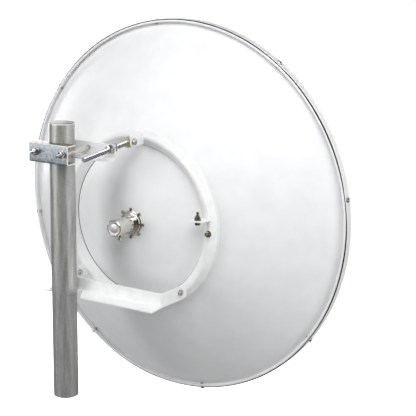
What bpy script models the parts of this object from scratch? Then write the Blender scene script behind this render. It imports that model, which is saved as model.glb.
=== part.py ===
"""Microwave dish antenna on a pole stub, seen from behind in the photo.

Frame: metres, +Z up, +Y is the way the dish looks, origin at the centre of the pole's foot.
Lengths in the constants are millimetres, given from the centre of the dish's rim circle.
"""

import math

import bmesh
import bpy
import numpy as np
from mathutils import Vector

MM = 0.001

# Place of the rim circle's centre from the pole's foot
DISH_X, DISH_Y, DISH_Z = 139.0, 412.0, 534.0

# Pole, a 76.1 mm pipe
POLE_X, POLE_Y = -139.0, -412.0
POLE_R = 38.05
POLE_WALL = 3.6
POLE_FOOT_Z = -534.0
POLE_TOP_Z = 316.0
POLE_CAP_T = 5.0
POLE_SEAM_Z = -213.0
FOOT_PLUG_T = 8.0

# Contact gap between touching pieces
GAP = 0.3

# Reflector: back surface y = VERTEX_Y + r * r / PARABOLA
RIM_R = 598.5
VERTEX_Y = -259.0
PARABOLA = 1298.0
SKIN = 2.0
REFLECTOR_EDGE_R = 590.5
RIM_BACK_Y = -8.0
FEED_HOLE_R = 27.0

# Radome and its black seal
RADOME_R = 602.0
RADOME_SKIRT_FRONT = 29.5
RADOME_BULGE = 10.5
SEAL_R0, SEAL_R1 = 598.8, 601.0

# Radial screws that hold the radome's skirt on the rim
RIM_SCREW_COUNT = 8
RIM_SCREW_FIRST_DEG = 9.0
RIM_SCREW_ONE_OFF_DEG = 0.55
RIM_SCREW_Y = 6.0
RIM_SCREW_AF = 13.0
RIM_SCREW_HEAD = 5.5

# Mounting ring behind the reflector
RING_FOOT_IN = 238.0
RING_FOOT_OUT = 280.5
RING_RIDGE_IN = 262.0
RING_RIDGE_OUT = 269.0
RING_RIDGE_Y = -238.0
RING_SHEET = 3.2
RING_SEAT = 0.6

# Elevation pivot through the two arms of the lower bracket
PIVOT_Y, PIVOT_Z = -282.0, -181.0
ARM_X = 191.0
ARM_T = 4.0
WEB_Y = -373.5
PLATE_T = 4.0
LOWER_Z0, LOWER_Z1 = -204.5, -163.5
LOWER_FLANGE_Y = -437.0
LOWER_TIP_X = 202.0
ARM_END_Y = -247.5

# Upper bracket
UPPER_X0, UPPER_X1 = -208.0, 26.8
UPPER_Z0, UPPER_Z1 = 214.8, 260.5
UPPER_FLANGE_Y = -416.0

# Spine between the two brackets, behind the pole
SPINE_X0, SPINE_X1 = -171.0, -139.0
SPINE_DEPTH = 15.0

# Clamp channel in front of the pole and its two studs, the right one slightly skewed
CHANNEL_X0, CHANNEL_X1 = -211.0, -68.0
CHANNEL_Z0, CHANNEL_Z1 = 201.8, 259.3
CHANNEL_FRONT_Y = -476.0
CHANNEL_BACK_Y = -437.0
CHANNEL_T = 4.0
STUD_AT_CHANNEL = {"left": (-184.0, 234.0), "right": (-82.0, 235.0)}
STUD_AT_WEB = {"left": (-184.0, 234.0), "right": (-70.5, 243.0)}
STUD_FRONT = 30.0
STUD_BACK = 18.0
STUD_R = 5.0
NUT_AF = 17.0
NUT_T = 8.0

# Elevation rod from the ring's top to the upper bracket, an M16 size
ROD_X = 15.0
ROD_R = 8.0
ROD_LINE_Z = 256.0
ROD_HOLE_Z = 247.6
ROD_FREE_Y = -505.0
ROD_NUT_PLAY = 2.3
ROD_NUT_AF = 23.4
ROD_NUT_T = 13.0
ROD_WASHER_R = 13.5

# The rod's eye block, its pin and the tab on the ring that carries it
PIN_Y, PIN_Z = -287.0, 258.0
PIN_R = 6.0
EYE_X0, EYE_X1 = 8.0, 22.0
EYE_Y0, EYE_Y1 = -299.0, -275.0
EYE_Z0, EYE_Z1 = 240.0, 268.0
EYE_CORNER = 6.0
TAB_X = 25.5
TAB_T = 5.5

# Lug with an upright bolt on the ring's right, and the bolt head below it
SIDE_LUG_Z = 41.0
SIDE_BOLT_X, SIDE_BOLT_Y = 247.0, -268.0
SIDE_BOLT_R = 4.2
SIDE_BOLT_AF = 15.5
RING_BOLT_X, RING_BOLT_Z = 266.0, 0.0

# Feed
FEED_R = 25.4
FEED_END_Y = -347.0
FEED_FRONT_Y = -268.5
COLLAR_R = 36.0
FEED_FLANGE_R = 38.6
FEED_SCREWS = 8

SEG = 72
REFLECTOR_RADII = (27.0, 80.0, 130.0, 185.0, 238.0, 259.0, 280.0, 330.0, 385.0, 440.0, 505.0, 550.0,
                   590.5)


def clear_scene():
    for obj in list(bpy.data.objects):
        bpy.data.objects.remove(obj, do_unlink=True)


def at(x, y, z):
    """A point given in millimetres from the dish's centre, as metres in the shared frame."""
    return Vector(((x + DISH_X) * MM, (y + DISH_Y) * MM, (z + DISH_Z) * MM))


def material(name, rgb, metallic, roughness):
    mat = bpy.data.materials.new(name)
    mat.use_nodes = True
    shader = mat.node_tree.nodes["Principled BSDF"]
    shader.inputs["Base Color"].default_value = (*rgb, 1.0)
    shader.inputs["Metallic"].default_value = metallic
    shader.inputs["Roughness"].default_value = roughness
    mat.diffuse_color = (*rgb, 1.0)
    return mat


def add_mesh(name, verts, faces, look):
    """One closed solid with its own material, its faces turned outward."""
    mesh = bpy.data.meshes.new(name)
    mesh.from_pydata([tuple(v) for v in verts], [], faces)
    mesh.validate()
    tidy = bmesh.new()
    tidy.from_mesh(mesh)
    bmesh.ops.recalc_face_normals(tidy, faces=tidy.faces)
    if tidy.calc_volume(signed=True) < 0.0:
        bmesh.ops.reverse_faces(tidy, faces=tidy.faces)
    tidy.to_mesh(mesh)
    tidy.free()
    obj = bpy.data.objects.new(name, mesh)
    bpy.context.collection.objects.link(obj)
    mesh.materials.append(material(name + "_look", *look))
    return obj


def lathe(name, centre, axis, profile, look, segments=SEG):
    """Turn a closed profile of (radius, distance along the axis) about an axis through centre."""
    axis = Vector(axis).normalized()
    side = axis.orthogonal().normalized()
    if abs(axis.y) > 0.99:
        side = Vector((1.0, 0.0, 0.0))
    other = axis.cross(side)
    verts, rows = [], []
    for radius, along in profile:
        if radius < 1e-6:
            rows.append([len(verts)] * segments)
            verts.append(Vector(centre) + axis * along)
            continue
        rows.append(list(range(len(verts), len(verts) + segments)))
        for k in range(segments):
            turn = 2.0 * math.pi * k / segments
            ray = side * math.cos(turn) + other * math.sin(turn)
            verts.append(Vector(centre) + axis * along + ray * radius)
    faces = []
    for i, row in enumerate(rows):
        nxt = rows[(i + 1) % len(rows)]
        if row[0] == row[1] and nxt[0] == nxt[1]:
            continue
        for k in range(segments):
            m = (k + 1) % segments
            face = [row[k], row[m], nxt[m], nxt[k]]
            loop = [v for j, v in enumerate(face) if v != face[j - 1]]
            if len(loop) > 2:
                faces.append(loop)
    return add_mesh(name, [at(*v) for v in verts], faces, look)


def disc_profile(radius, start, end, bevel=0.0):
    if bevel <= 0.0:
        return [(0.0, start), (radius, start), (radius, end), (0.0, end)]
    return [(0.0, start), (radius - bevel, start), (radius, start + bevel),
            (radius, end - bevel), (radius - bevel, end), (0.0, end)]


def prism(name, outline, low, high, axis, look):
    """A flat plate: the outline in the two other axes, from low to high along the axis."""
    order = {"x": lambda a, b, c: (c, a, b), "y": lambda a, b, c: (a, c, b),
             "z": lambda a, b, c: (a, b, c)}[axis]
    count = len(outline)
    verts = [at(*order(a, b, low)) for a, b in outline]
    verts += [at(*order(a, b, high)) for a, b in outline]
    faces = [list(range(count)), list(range(count, 2 * count))]
    faces += [[i, (i + 1) % count, (i + 1) % count + count, i + count] for i in range(count)]
    return add_mesh(name, verts, faces, look)


def box(name, low, high, look):
    (x0, y0, z0), (x1, y1, z1) = low, high
    return prism(name, [(x0, y0), (x1, y0), (x1, y1), (x0, y1)], z0, z1, "z", look)


def hexagon(across_flats):
    radius = across_flats / math.sqrt(3.0)
    return [(radius * math.cos(math.radians(60 * k)), radius * math.sin(math.radians(60 * k)))
            for k in range(6)]


def combine(name, parts, operation="UNION"):
    """Join or cut solids with exact Booleans; the first one keeps its material and takes the name."""
    base = parts[0]
    for part in parts[1:]:
        mod = base.modifiers.new("bool", "BOOLEAN")
        mod.operation = operation
        mod.solver = "EXACT"
        mod.object = part
        bpy.context.view_layer.objects.active = base
        bpy.ops.object.modifier_apply(modifier=mod.name)
        bpy.data.objects.remove(part, do_unlink=True)
    base.name = name
    base.data.name = name
    look = base.data.materials[0]
    base.data.materials.clear()
    base.data.materials.append(look)
    look.name = name + "_look"
    return base


def round_bar(centre, axis, radius, start, end, look, segments=32, name="bar"):
    return lathe(name, centre, axis, disc_profile(radius, start, end), look, segments)


def hex_bar(centre, axis, across_flats, start, end, look):
    """A hexagonal bar along an axis through centre."""
    axis = Vector(axis).normalized()
    side = axis.orthogonal().normalized()
    other = axis.cross(side)
    corners = hexagon(across_flats)
    verts = []
    for along in (start, end):
        verts += [Vector(centre) + axis * along + side * a + other * b for a, b in corners]
    faces = [list(range(6)), list(range(6, 12))]
    faces += [[i, (i + 1) % 6, (i + 1) % 6 + 6, i + 6] for i in range(6)]
    return add_mesh("hex", [at(*v) for v in verts], faces, look)


def back_y(radius):
    return VERTEX_Y + radius * radius / PARABOLA


GALVANISED = ((0.34, 0.35, 0.35), 0.9, 0.45)
ZINC = ((0.42, 0.45, 0.50), 0.9, 0.4)
YELLOW_ZINC = ((0.62, 0.50, 0.22), 0.9, 0.35)
STEEL = ((0.55, 0.55, 0.56), 1.0, 0.3)
WHITE = ((0.86, 0.86, 0.86), 0.0, 0.4)
RADOME_LOOK = ((0.83, 0.83, 0.80), 0.0, 0.5)
BLACK = ((0.02, 0.02, 0.02), 0.0, 0.6)
ALUMINIUM = ((0.70, 0.70, 0.70), 1.0, 0.3)
GOLD = ((0.80, 0.62, 0.25), 1.0, 0.3)


def build_pole():
    centre = (POLE_X, POLE_Y, 0.0)
    inner = POLE_R - POLE_WALL
    top = POLE_TOP_Z - POLE_CAP_T - GAP
    seam = POLE_SEAM_Z
    lathe("pole_pipe", centre, (0, 0, 1),
          [(POLE_R, POLE_FOOT_Z), (POLE_R, seam - 1.0), (POLE_R - 0.8, seam - 0.5),
           (POLE_R - 0.8, seam + 0.5), (POLE_R, seam + 1.0), (POLE_R, top),
           (inner, top), (inner, POLE_FOOT_Z)], GALVANISED, 64)
    lathe("pole_cap", centre, (0, 0, 1),
          [(0.0, top + GAP), (POLE_R, top + GAP), (POLE_R, POLE_TOP_Z - 1.5),
           (POLE_R - 1.5, POLE_TOP_Z), (0.0, POLE_TOP_Z)], GALVANISED, 64)
    lathe("pole_foot_plug", centre, (0, 0, 1),
          disc_profile(inner - GAP, POLE_FOOT_Z, POLE_FOOT_Z + FOOT_PLUG_T), GALVANISED, 64)


def pole_clearance(low_z, high_z, extra=0.6):
    return round_bar((POLE_X, POLE_Y, 0.0), (0, 0, 1), POLE_R + extra, low_z, high_z, WHITE, 64)


def stud_line(side):
    """Point on a stud at the channel's front, its unit vector towards the dish and its reach to the web."""
    x0, z0 = STUD_AT_CHANNEL[side]
    x1, z1 = STUD_AT_WEB[side]
    start = Vector((x0, CHANNEL_FRONT_Y, z0))
    run = Vector((x1, WEB_Y, z1)) - start
    return start, run.normalized(), run.length


def build_clamp():
    y0, y1, t = CHANNEL_FRONT_Y, CHANNEL_BACK_Y, CHANNEL_T
    z0, z1 = CHANNEL_Z0, CHANNEL_Z1
    section = [(y0, z0), (y1, z0), (y1, z0 + t), (y0 + t, z0 + t),
               (y0 + t, z1 - t), (y1, z1 - t), (y1, z1), (y0, z1)]
    channel = prism("channel", section, CHANNEL_X0, CHANNEL_X1, "x", ZINC)
    cutters = [pole_clearance(z0 - 5, z1 + 5)]
    for side in STUD_AT_CHANNEL:
        start, way, _ = stud_line(side)
        cutters.append(round_bar(start, way, STUD_R + 0.7, -8.0, t + 8.0, ZINC))
    combine("clamp_channel", [channel] + cutters, "DIFFERENCE")
    for side in STUD_AT_CHANNEL:
        start, way, reach = stud_line(side)
        lean = NUT_AF / math.sqrt(3.0) * math.sqrt(1.0 - way.y ** 2)
        front = -GAP - lean - NUT_T
        back = reach + PLATE_T / way.y + GAP + lean
        round_bar(start, way, STUD_R, -STUD_FRONT, reach + STUD_BACK, ZINC, 24, "clamp_stud_" + side)
        for place, low in (("front", front), ("back", back)):
            nut = hex_bar(start, way, NUT_AF, low, low + NUT_T, ZINC)
            bore = round_bar(start, way, STUD_R + GAP, low - 5, low + NUT_T + 5, ZINC)
            combine("clamp_nut_%s_%s" % (place, side), [nut, bore], "DIFFERENCE")


def build_upper_bracket():
    y1 = WEB_Y + PLATE_T
    web = box("web", (UPPER_X0, WEB_Y, UPPER_Z0), (UPPER_X1, y1, UPPER_Z1), WHITE)
    lip = box("lip", (UPPER_X0, UPPER_FLANGE_Y, UPPER_Z0),
              (UPPER_X1, WEB_Y + 1.0, UPPER_Z0 + PLATE_T), WHITE)
    bracket = combine("upper_bracket", [web, lip])
    cutters = [pole_clearance(UPPER_Z0 - 5, UPPER_Z1 + 5)]
    for side in STUD_AT_WEB:
        start, way, reach = stud_line(side)
        cutters.append(round_bar(start, way, STUD_R + 0.7, reach - 8.0, reach + PLATE_T + 8.0, WHITE))
    hole = (ROD_X, WEB_Y + 2.0, ROD_HOLE_Z)
    cutters.append(round_bar(hole, rod_direction(), ROD_R + 2.0, -12, 12, WHITE))
    combine("upper_bracket", [bracket] + cutters, "DIFFERENCE")
    box("spine_bar", (SPINE_X0, y1 + GAP, LOWER_Z0),
        (SPINE_X1, y1 + GAP + SPINE_DEPTH, UPPER_Z1), WHITE)


def rod_direction():
    """Unit vector of the elevation rod, towards its free end."""
    return Vector((0.0, WEB_Y + 2.0 - PIN_Y, ROD_HOLE_Z - ROD_LINE_Z)).normalized()


def build_lower_bracket():
    y1 = WEB_Y + PLATE_T
    outer = ARM_X + ARM_T
    web = box("web", (-outer, WEB_Y, LOWER_Z0), (outer, y1, LOWER_Z1), WHITE)
    flange = prism("flange", [(-LOWER_TIP_X, LOWER_FLANGE_Y), (LOWER_TIP_X, LOWER_FLANGE_Y),
                              (outer, WEB_Y + 1.0), (-outer, WEB_Y + 1.0)],
                   LOWER_Z0, LOWER_Z0 + PLATE_T, "z", WHITE)
    corner, top = 9.0, 2.0
    arm = [(WEB_Y, LOWER_Z0), (ARM_END_Y - corner, LOWER_Z0), (ARM_END_Y, LOWER_Z0 + corner),
           (ARM_END_Y, LOWER_Z1 - top), (ARM_END_Y - top, LOWER_Z1), (WEB_Y, LOWER_Z1)]
    arms = [prism("arm", arm, low, low + ARM_T, "x", WHITE) for low in (-outer, ARM_X)]
    bracket = combine("lower_bracket", [web, flange] + arms)
    cutters = [pole_clearance(LOWER_Z0 - 5, LOWER_Z0 + PLATE_T + 5)]
    left, front, root = POLE_X - POLE_R - 0.6, LOWER_FLANGE_Y - 5.0, WEB_Y - 6.0
    mouth = [(left, front), (-56.0, front), (-95.0, root), (-110.0, root), (-110.0, POLE_Y),
             (left, POLE_Y)]
    cutters += [prism("slot", mouth, LOWER_Z0 - 5, LOWER_Z0 + PLATE_T + 5, "z", WHITE)]
    cutters += [round_bar((0.0, PIVOT_Y, PIVOT_Z), (1, 0, 0), 6.5, -220, 220, WHITE)]
    combine("lower_bracket", [bracket] + cutters, "DIFFERENCE")


def build_reflector():
    outer, inner = [], []
    for radius in REFLECTOR_RADII:
        slope = 2.0 * radius / PARABOLA
        tilt = 1.0 / math.hypot(1.0, slope)
        outer.append((radius, back_y(radius)))
        inner.append((radius - SKIN * slope * tilt * (radius - FEED_HOLE_R) / REFLECTOR_EDGE_R,
                      back_y(radius) + SKIN * tilt))
    wall, curl = RIM_R - 3.8, RIM_BACK_Y
    outer += [(593.0, 10.4), (wall, 9.0), (wall, curl + 6.5), (wall - 3.0, curl + 4.8),
              (wall - 3.0, curl + 2.0), (wall - 1.0, curl), (RIM_R - 1.8, curl), (RIM_R, curl + 1.8),
              (RIM_R, curl + 5.0), (wall + SKIN, curl + 6.8), (wall + SKIN, 10.8)]
    inner += [(591.0, 12.6), (593.5, 12.6)]
    lathe("reflector", (0, 0, 0), (0, 1, 0), outer + inner[::-1], WHITE)
    seal_y = RIM_BACK_Y + 3.4
    lathe("rim_seal", (0, 0, 0), (0, 1, 0),
          [(SEAL_R0, seal_y), (SEAL_R1, seal_y), (SEAL_R1, seal_y + 3.0), (SEAL_R0, seal_y + 3.0)],
          BLACK)
    lip_y = seal_y + 3.0 + GAP
    front = RADOME_SKIRT_FRONT
    dome = [(float(r), front + RADOME_BULGE * (1.0 - (r / 596.0) ** 2))
            for r in np.linspace(0.0, 596.0, 6)]
    shell = dome + [(RADOME_R, front - 3.0), (RADOME_R, lip_y), (RADOME_R - 2.5, lip_y),
                    (RADOME_R - 2.5, front - 5.0)]
    shell += [(float(r), front - 2.5 + RADOME_BULGE * (1.0 - (r / 594.0) ** 2))
              for r in np.linspace(594.0, 0.0, 6)]
    lathe("radome", (0, 0, 0), (0, 1, 0), shell, RADOME_LOOK)


def build_rim_screws():
    """Hex screws round the rim, one object each, their washers seated on the radome's skirt."""
    seat = RADOME_R + GAP
    for k in range(RIM_SCREW_COUNT):
        degrees = RIM_SCREW_FIRST_DEG + 360.0 / RIM_SCREW_COUNT * k
        if k == 0:
            degrees += RIM_SCREW_ONE_OFF_DEG
        turn = math.radians(degrees)
        ray = (math.cos(turn), 0.0, math.sin(turn))
        line = (0.0, RIM_SCREW_Y, 0.0)
        washer = round_bar(line, ray, RIM_SCREW_AF * 0.62, seat, seat + 1.5, STEEL)
        head = hex_bar(line, ray, RIM_SCREW_AF, seat + 1.0, seat + RIM_SCREW_HEAD, STEEL)
        combine("rim_screw_%d" % (k + 1), [head, washer])


def build_ring():
    """Pressed hump section: a lip inside, a slanted inner face, a narrow top and a steep outer face."""
    t, seat, top = RING_SHEET, RING_SEAT, RING_RIDGE_Y
    lip = RING_FOOT_IN
    toe = RING_FOOT_OUT
    low_in = RING_RIDGE_IN - t
    low_out = RING_RIDGE_OUT - t
    section = [(lip, back_y(lip) - seat), (lip, back_y(lip) - seat - t),
               (RING_RIDGE_IN - 3.5, top + 1.6), (RING_RIDGE_IN, top),
               (RING_RIDGE_OUT, top), (RING_RIDGE_OUT + 3.5, top + 2.5), (toe - 2.5, top + 16.0),
               (toe, back_y(toe) - seat - 5.0), (toe, back_y(toe) - seat),
               (toe - t, back_y(toe - t) - seat), (toe - 2.5 - t, top + 17.0),
               (low_out + 2.5, top + 5.5), (low_out, top + t + 0.5), (low_in + 3.0, top + t + 0.5),
               (low_in, top + 5.5), (lip + 4.0, back_y(lip + 4.0) - seat)]
    lathe("mounting_ring", (0, 0, 0), (0, 1, 0), section, WHITE)


def build_ring_tab():
    """The tab on the ring's top, the rod's eye block, its pin and the threaded rod."""
    y1 = RING_RIDGE_Y - GAP
    outline = [(-299.0, 247.0), (-295.0, 243.0), (y1, 243.5), (y1, 280.0), (-295.0, 279.0),
               (-299.0, 275.0)]
    tab = prism("tab", outline, TAB_X, TAB_X + TAB_T, "x", WHITE)
    pin = (0.0, PIN_Y, PIN_Z)
    bore = round_bar(pin, (1, 0, 0), PIN_R + GAP, TAB_X - 5, TAB_X + 10, WHITE)
    combine("ring_tab", [tab, bore], "DIFFERENCE")
    c = EYE_CORNER
    block = [(EYE_Y0, EYE_Z0 + c), (EYE_Y0 + c, EYE_Z0), (EYE_Y1 - c, EYE_Z0), (EYE_Y1, EYE_Z0 + c),
             (EYE_Y1, EYE_Z1 - c), (EYE_Y1 - c, EYE_Z1), (EYE_Y0 + c, EYE_Z1), (EYE_Y0, EYE_Z1 - c)]
    eye = prism("eye", block, EYE_X0, EYE_X1, "x", YELLOW_ZINC)
    hole = round_bar(pin, (1, 0, 0), PIN_R + GAP, EYE_X0 - 5, EYE_X1 + 5, YELLOW_ZINC)
    combine("rod_eye", [eye, hole], "DIFFERENCE")
    outer = TAB_X + TAB_T
    shank = lathe("shank", pin, (1, 0, 0),
                  [(0.0, EYE_X0 - 3.5), (PIN_R, EYE_X0 - 3.5), (PIN_R, EYE_X0 - 2.3),
                   (8.0, EYE_X0 - 2.3), (8.0, EYE_X0 - GAP), (PIN_R, EYE_X0 - GAP),
                   (PIN_R, EYE_X1 + GAP), (9.0, EYE_X1 + GAP), (9.0, TAB_X - GAP),
                   (PIN_R, TAB_X - GAP), (PIN_R, outer + 1.0), (0.0, outer + 1.0)], STEEL, 32)
    head = hex_bar(pin, (1, 0, 0), 19.0, outer + GAP, outer + 7.0, STEEL)
    combine("eye_bolt", [shank, head])
    way = rod_direction()
    base = (ROD_X, PIN_Y, ROD_LINE_Z)
    start = (EYE_Y0 - PIN_Y) / way.y + ROD_R * abs(way.z) + GAP
    length = (ROD_FREE_Y - PIN_Y) / way.y
    lathe("tilt_rod", base, way, disc_profile(ROD_R, start, length, 1.0), ZINC, 32)
    at_web = (ROD_X, WEB_Y + 2.0, ROD_HOLE_Z)
    near = PLATE_T / 2.0 + GAP + ROD_WASHER_R * abs(way.z) + 0.1
    for name, sign in (("tilt_nut_front", 1.0), ("tilt_nut_back", -1.0)):
        out = way * sign
        washer = round_bar(at_web, out, ROD_WASHER_R, near, near + 3.0, ZINC)
        body = hex_bar(at_web, out, ROD_NUT_AF, near + 2.5, near + 3.0 + ROD_NUT_T, ZINC)
        bore = round_bar(at_web, way, ROD_R + ROD_NUT_PLAY, -30, 30, ZINC)
        joined = combine(name, [body, washer])
        combine(name, [joined, bore], "DIFFERENCE")


def build_pivots():
    """Lugs welded behind the ring, inside the arms, with the two elevation pivot bolts."""
    front = RING_RIDGE_Y - GAP
    outline = [(-300.0, -192.0), (-294.0, -202.0), (front, -198.0), (front, -184.0),
               (-252.0, -172.0), (-252.0, -168.0), (-255.0, -165.5), (-294.0, -165.5),
               (-300.0, -170.0)]
    inner = ARM_X - 5.0
    outer = ARM_X + ARM_T
    for side, sign in (("left", -1.0), ("right", 1.0)):
        low_x = inner if sign > 0 else -(ARM_X - 0.5)
        lug = prism("lug", outline, low_x, low_x + 4.5, "x", WHITE)
        bore = round_bar((0, PIVOT_Y, PIVOT_Z), (1, 0, 0), 6.3, -220, 220, WHITE)
        combine("pivot_lug_" + side, [lug, bore], "DIFFERENCE")
        line = (0.0, PIVOT_Y, PIVOT_Z)
        axis = (sign, 0, 0)
        shank = round_bar(line, axis, 6.0, inner - 10.0, outer + 2.0, STEEL)
        head = hex_bar(line, axis, 18.0, outer + 0.5, outer + 8.0, STEEL)
        nut = hex_bar(line, axis, 18.0, inner - 8.5, inner - GAP, STEEL)
        combine("pivot_bolt_" + side, [shank, head, nut])


def build_side_lug():
    """The horizontal lug with its upright bolt on the ring's right side."""
    z = SIDE_LUG_Z
    top = z + PLATE_T
    y1 = RING_RIDGE_Y - GAP
    outline = [(226.0, -272.0), (230.0, -279.0), (238.0, -284.0), (250.0, -285.0), (262.0, -281.0),
               (270.0, -272.0), (276.0, -258.0), (276.0, y1), (252.0, y1), (240.0, -246.0),
               (228.0, -258.0)]
    plate = prism("plate", outline, z, top, "z", WHITE)
    line = (SIDE_BOLT_X, SIDE_BOLT_Y, 0.0)
    bore = round_bar(line, (0, 0, 1), SIDE_BOLT_R + GAP, z - 5, z + 10, WHITE)
    combine("side_lug", [plate, bore], "DIFFERENCE")
    shank = round_bar(line, (0, 0, 1), SIDE_BOLT_R, z - 1.0, z + 28.0, STEEL)
    head = hex_bar(line, (0, 0, 1), SIDE_BOLT_AF, z - 11.0, z - GAP, STEEL)
    washer = round_bar(line, (0, 0, 1), 10.5, top + GAP, top + 2.3, STEEL)
    nut = hex_bar(line, (0, 0, 1), SIDE_BOLT_AF, top + 2.0, top + 11.0, STEEL)
    combine("side_lug_bolt", [shank, head, washer, nut])
    spot = (RING_BOLT_X, 0.0, RING_BOLT_Z)
    head = hex_bar(spot, (0, 1, 0), 17.0, RING_RIDGE_Y - 8.5, RING_RIDGE_Y - 2.0, STEEL)
    washer = round_bar(spot, (0, 1, 0), 11.0, RING_RIDGE_Y - 2.3, RING_RIDGE_Y - GAP, STEEL)
    combine("ring_bolt", [head, washer])


def build_feed():
    line = (0.0, 0.0, 0.0)
    lathe("feed_housing", line, (0, 1, 0),
          disc_profile(FEED_R, FEED_END_Y, FEED_FRONT_Y - GAP, 1.2), ALUMINIUM, 64)
    y0 = FEED_FRONT_Y
    y1 = back_y(FEED_FLANGE_R) - GAP - 1.2
    lathe("feed_flange", line, (0, 1, 0),
          [(0.0, y0), (COLLAR_R - 3.0, y0), (COLLAR_R, y0 + 3.0), (COLLAR_R, y0 + 6.0),
           (COLLAR_R - 3.0, y0 + 6.5), (COLLAR_R - 3.0, y0 + 8.0),
           (FEED_FLANGE_R, y0 + 8.5), (FEED_FLANGE_R, y1), (0.0, y1)], ALUMINIUM, 64)
    mid = (y0 + 8.5 + y1) / 2.0
    for k in range(FEED_SCREWS):
        turn = math.radians(360.0 / FEED_SCREWS * k)
        ray = (math.cos(turn), 0.0, math.sin(turn))
        lathe("feed_screw_%d" % (k + 1), (0.0, mid - 3.0, 0.0), ray,
              disc_profile(3.2, FEED_FLANGE_R + GAP, FEED_FLANGE_R + 8.0, 0.8), STEEL, 16)
    top = -FEED_R - GAP
    lathe("n_connector", (0.0, -315.0, 0.0), (0, 0, 1),
          [(0.0, top - 16.0), (4.5, top - 16.0), (4.5, top - 17.5), (8.0, top - 17.5),
           (8.0, top - 3.0), (9.5, top - 3.0), (9.5, top), (0.0, top)], GOLD, 32)


def main():
    clear_scene()
    build_pole()
    build_clamp()
    build_upper_bracket()
    build_lower_bracket()
    build_reflector()
    build_rim_screws()
    build_ring()
    build_ring_tab()
    build_pivots()
    build_side_lug()
    build_feed()


main()
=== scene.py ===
"""Looks of the microwave dish antenna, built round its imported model.

Lengths in the classes are millimetres from the centre of the dish's rim circle:
+X to the right seen from behind, +Y the way the dish looks, +Z up.
"""

import logging
import math
from collections.abc import Callable, Sequence
from dataclasses import dataclass, field
from enum import Enum
from typing import Any, ClassVar

import bmesh
import bpy
from mathutils import Matrix, Vector

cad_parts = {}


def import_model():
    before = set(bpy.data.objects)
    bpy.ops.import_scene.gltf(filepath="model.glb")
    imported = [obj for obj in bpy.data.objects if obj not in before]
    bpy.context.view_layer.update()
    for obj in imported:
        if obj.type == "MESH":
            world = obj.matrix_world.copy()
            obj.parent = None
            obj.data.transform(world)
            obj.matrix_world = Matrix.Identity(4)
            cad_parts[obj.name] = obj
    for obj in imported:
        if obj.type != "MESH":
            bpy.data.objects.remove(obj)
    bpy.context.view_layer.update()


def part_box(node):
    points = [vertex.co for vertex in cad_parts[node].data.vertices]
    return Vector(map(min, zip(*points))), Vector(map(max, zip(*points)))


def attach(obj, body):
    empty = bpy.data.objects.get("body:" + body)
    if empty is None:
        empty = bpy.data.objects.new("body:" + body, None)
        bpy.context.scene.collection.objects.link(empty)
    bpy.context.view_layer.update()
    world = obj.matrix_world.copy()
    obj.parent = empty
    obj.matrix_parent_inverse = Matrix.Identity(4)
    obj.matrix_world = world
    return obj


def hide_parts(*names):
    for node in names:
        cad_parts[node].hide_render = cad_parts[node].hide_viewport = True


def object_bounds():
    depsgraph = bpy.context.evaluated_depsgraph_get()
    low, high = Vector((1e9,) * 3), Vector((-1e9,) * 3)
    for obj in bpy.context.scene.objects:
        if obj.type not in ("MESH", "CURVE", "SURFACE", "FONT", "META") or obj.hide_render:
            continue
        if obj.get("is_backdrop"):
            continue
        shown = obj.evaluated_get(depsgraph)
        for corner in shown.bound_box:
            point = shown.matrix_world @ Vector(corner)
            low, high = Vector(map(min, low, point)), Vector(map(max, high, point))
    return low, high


log = logging.getLogger("dish_antenna")

MM = 0.001
FULL_TURN = 2.0 * math.pi
MERGE_M = 2e-6
SMOOTH_DEG = 35.0

Point = tuple[float, float]
Triple = Sequence[float]
Piece = bpy.types.Object
Socket = bpy.types.NodeSocket

X, Y, Z = (1.0, 0.0, 0.0), (0.0, 1.0, 0.0), (0.0, 0.0, 1.0)
CENTRE = (0.0, 0.0, 0.0)

# What several sub-assemblies share: the pipe's centre (x, y) and the room cut for it,
# the eye's pin and the pivots (y, z), and the reflector's back, y = VERTEX + r * r / PARABOLA.
POLE: Point = (-139.0, -412.0)
POLE_ROOM = 38.7
EYE_PIN: Point = (-287.0, 258.0)
EYE_X: Point = (8.0, 22.0)
PIVOT: Point = (-282.0, -181.0)
VERTEX = -259.0
PARABOLA = 1298.0
REFLECTOR_FRONT = 12.6
BRACKET_Y = -373.5
BRACKET_SHEET = 4.0


class Body(Enum):
    """The bodies that move on their own."""

    POLE = "pole"
    MOUNT = "mount"
    DISH = "dish"
    ROD = "rod"


class Slot(Enum):
    """The record's material slots."""

    GALVANISED = "galvanised_pipe"
    ZINC = "zinc_steel"
    YELLOW = "yellow_zinc"
    BOLT = "bolt_steel"
    WHITE = "white_steel"
    DISH = "white_dish"
    RADOME = "radome_skin"
    SEAL = "black_seal"
    FEED = "feed_metal"
    CONNECTOR = "connector_metal"


@dataclass(frozen=True)
class Datum:
    """Centre of the dish's rim circle in the shared frame, in metres."""

    origin: Vector

    @classmethod
    def from_frame(cls) -> "Datum":
        """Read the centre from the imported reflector, whose edge reaches in front of it."""
        low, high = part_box("reflector")
        middle = (low + high) / 2.0
        return cls(Vector((middle.x, high.y - REFLECTOR_FRONT * MM, middle.z)))

    def at(self, x: float, y: float, z: float) -> Vector:
        """Give a point in millimetres from the dish's centre as metres in the frame."""
        return self.origin + Vector((x, y, z)) * MM

    def stand(self, point: Triple, axis: Triple, turn: float = 0.0) -> Matrix:
        """Make the matrix that puts a piece modelled on +Z at a point, along an axis.

        Args:
            point: Place of the piece's zero, in millimetres from the dish's centre.
            axis: Direction that the piece's +Z takes.
            turn: Turn about that axis, in degrees.

        Returns:
            The matrix from the bench to the frame.
        """
        spin = Matrix.Rotation(math.radians(turn), 4, "Z")
        lean = Vector(axis).normalized().to_track_quat("Z", "Y").to_matrix().to_4x4()
        return Matrix.Translation(self.at(*point)) @ lean @ spin


def dish_back(radius: float) -> float:
    """Give the reflector's back surface at a radius."""
    return VERTEX + radius * radius / PARABOLA


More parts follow.
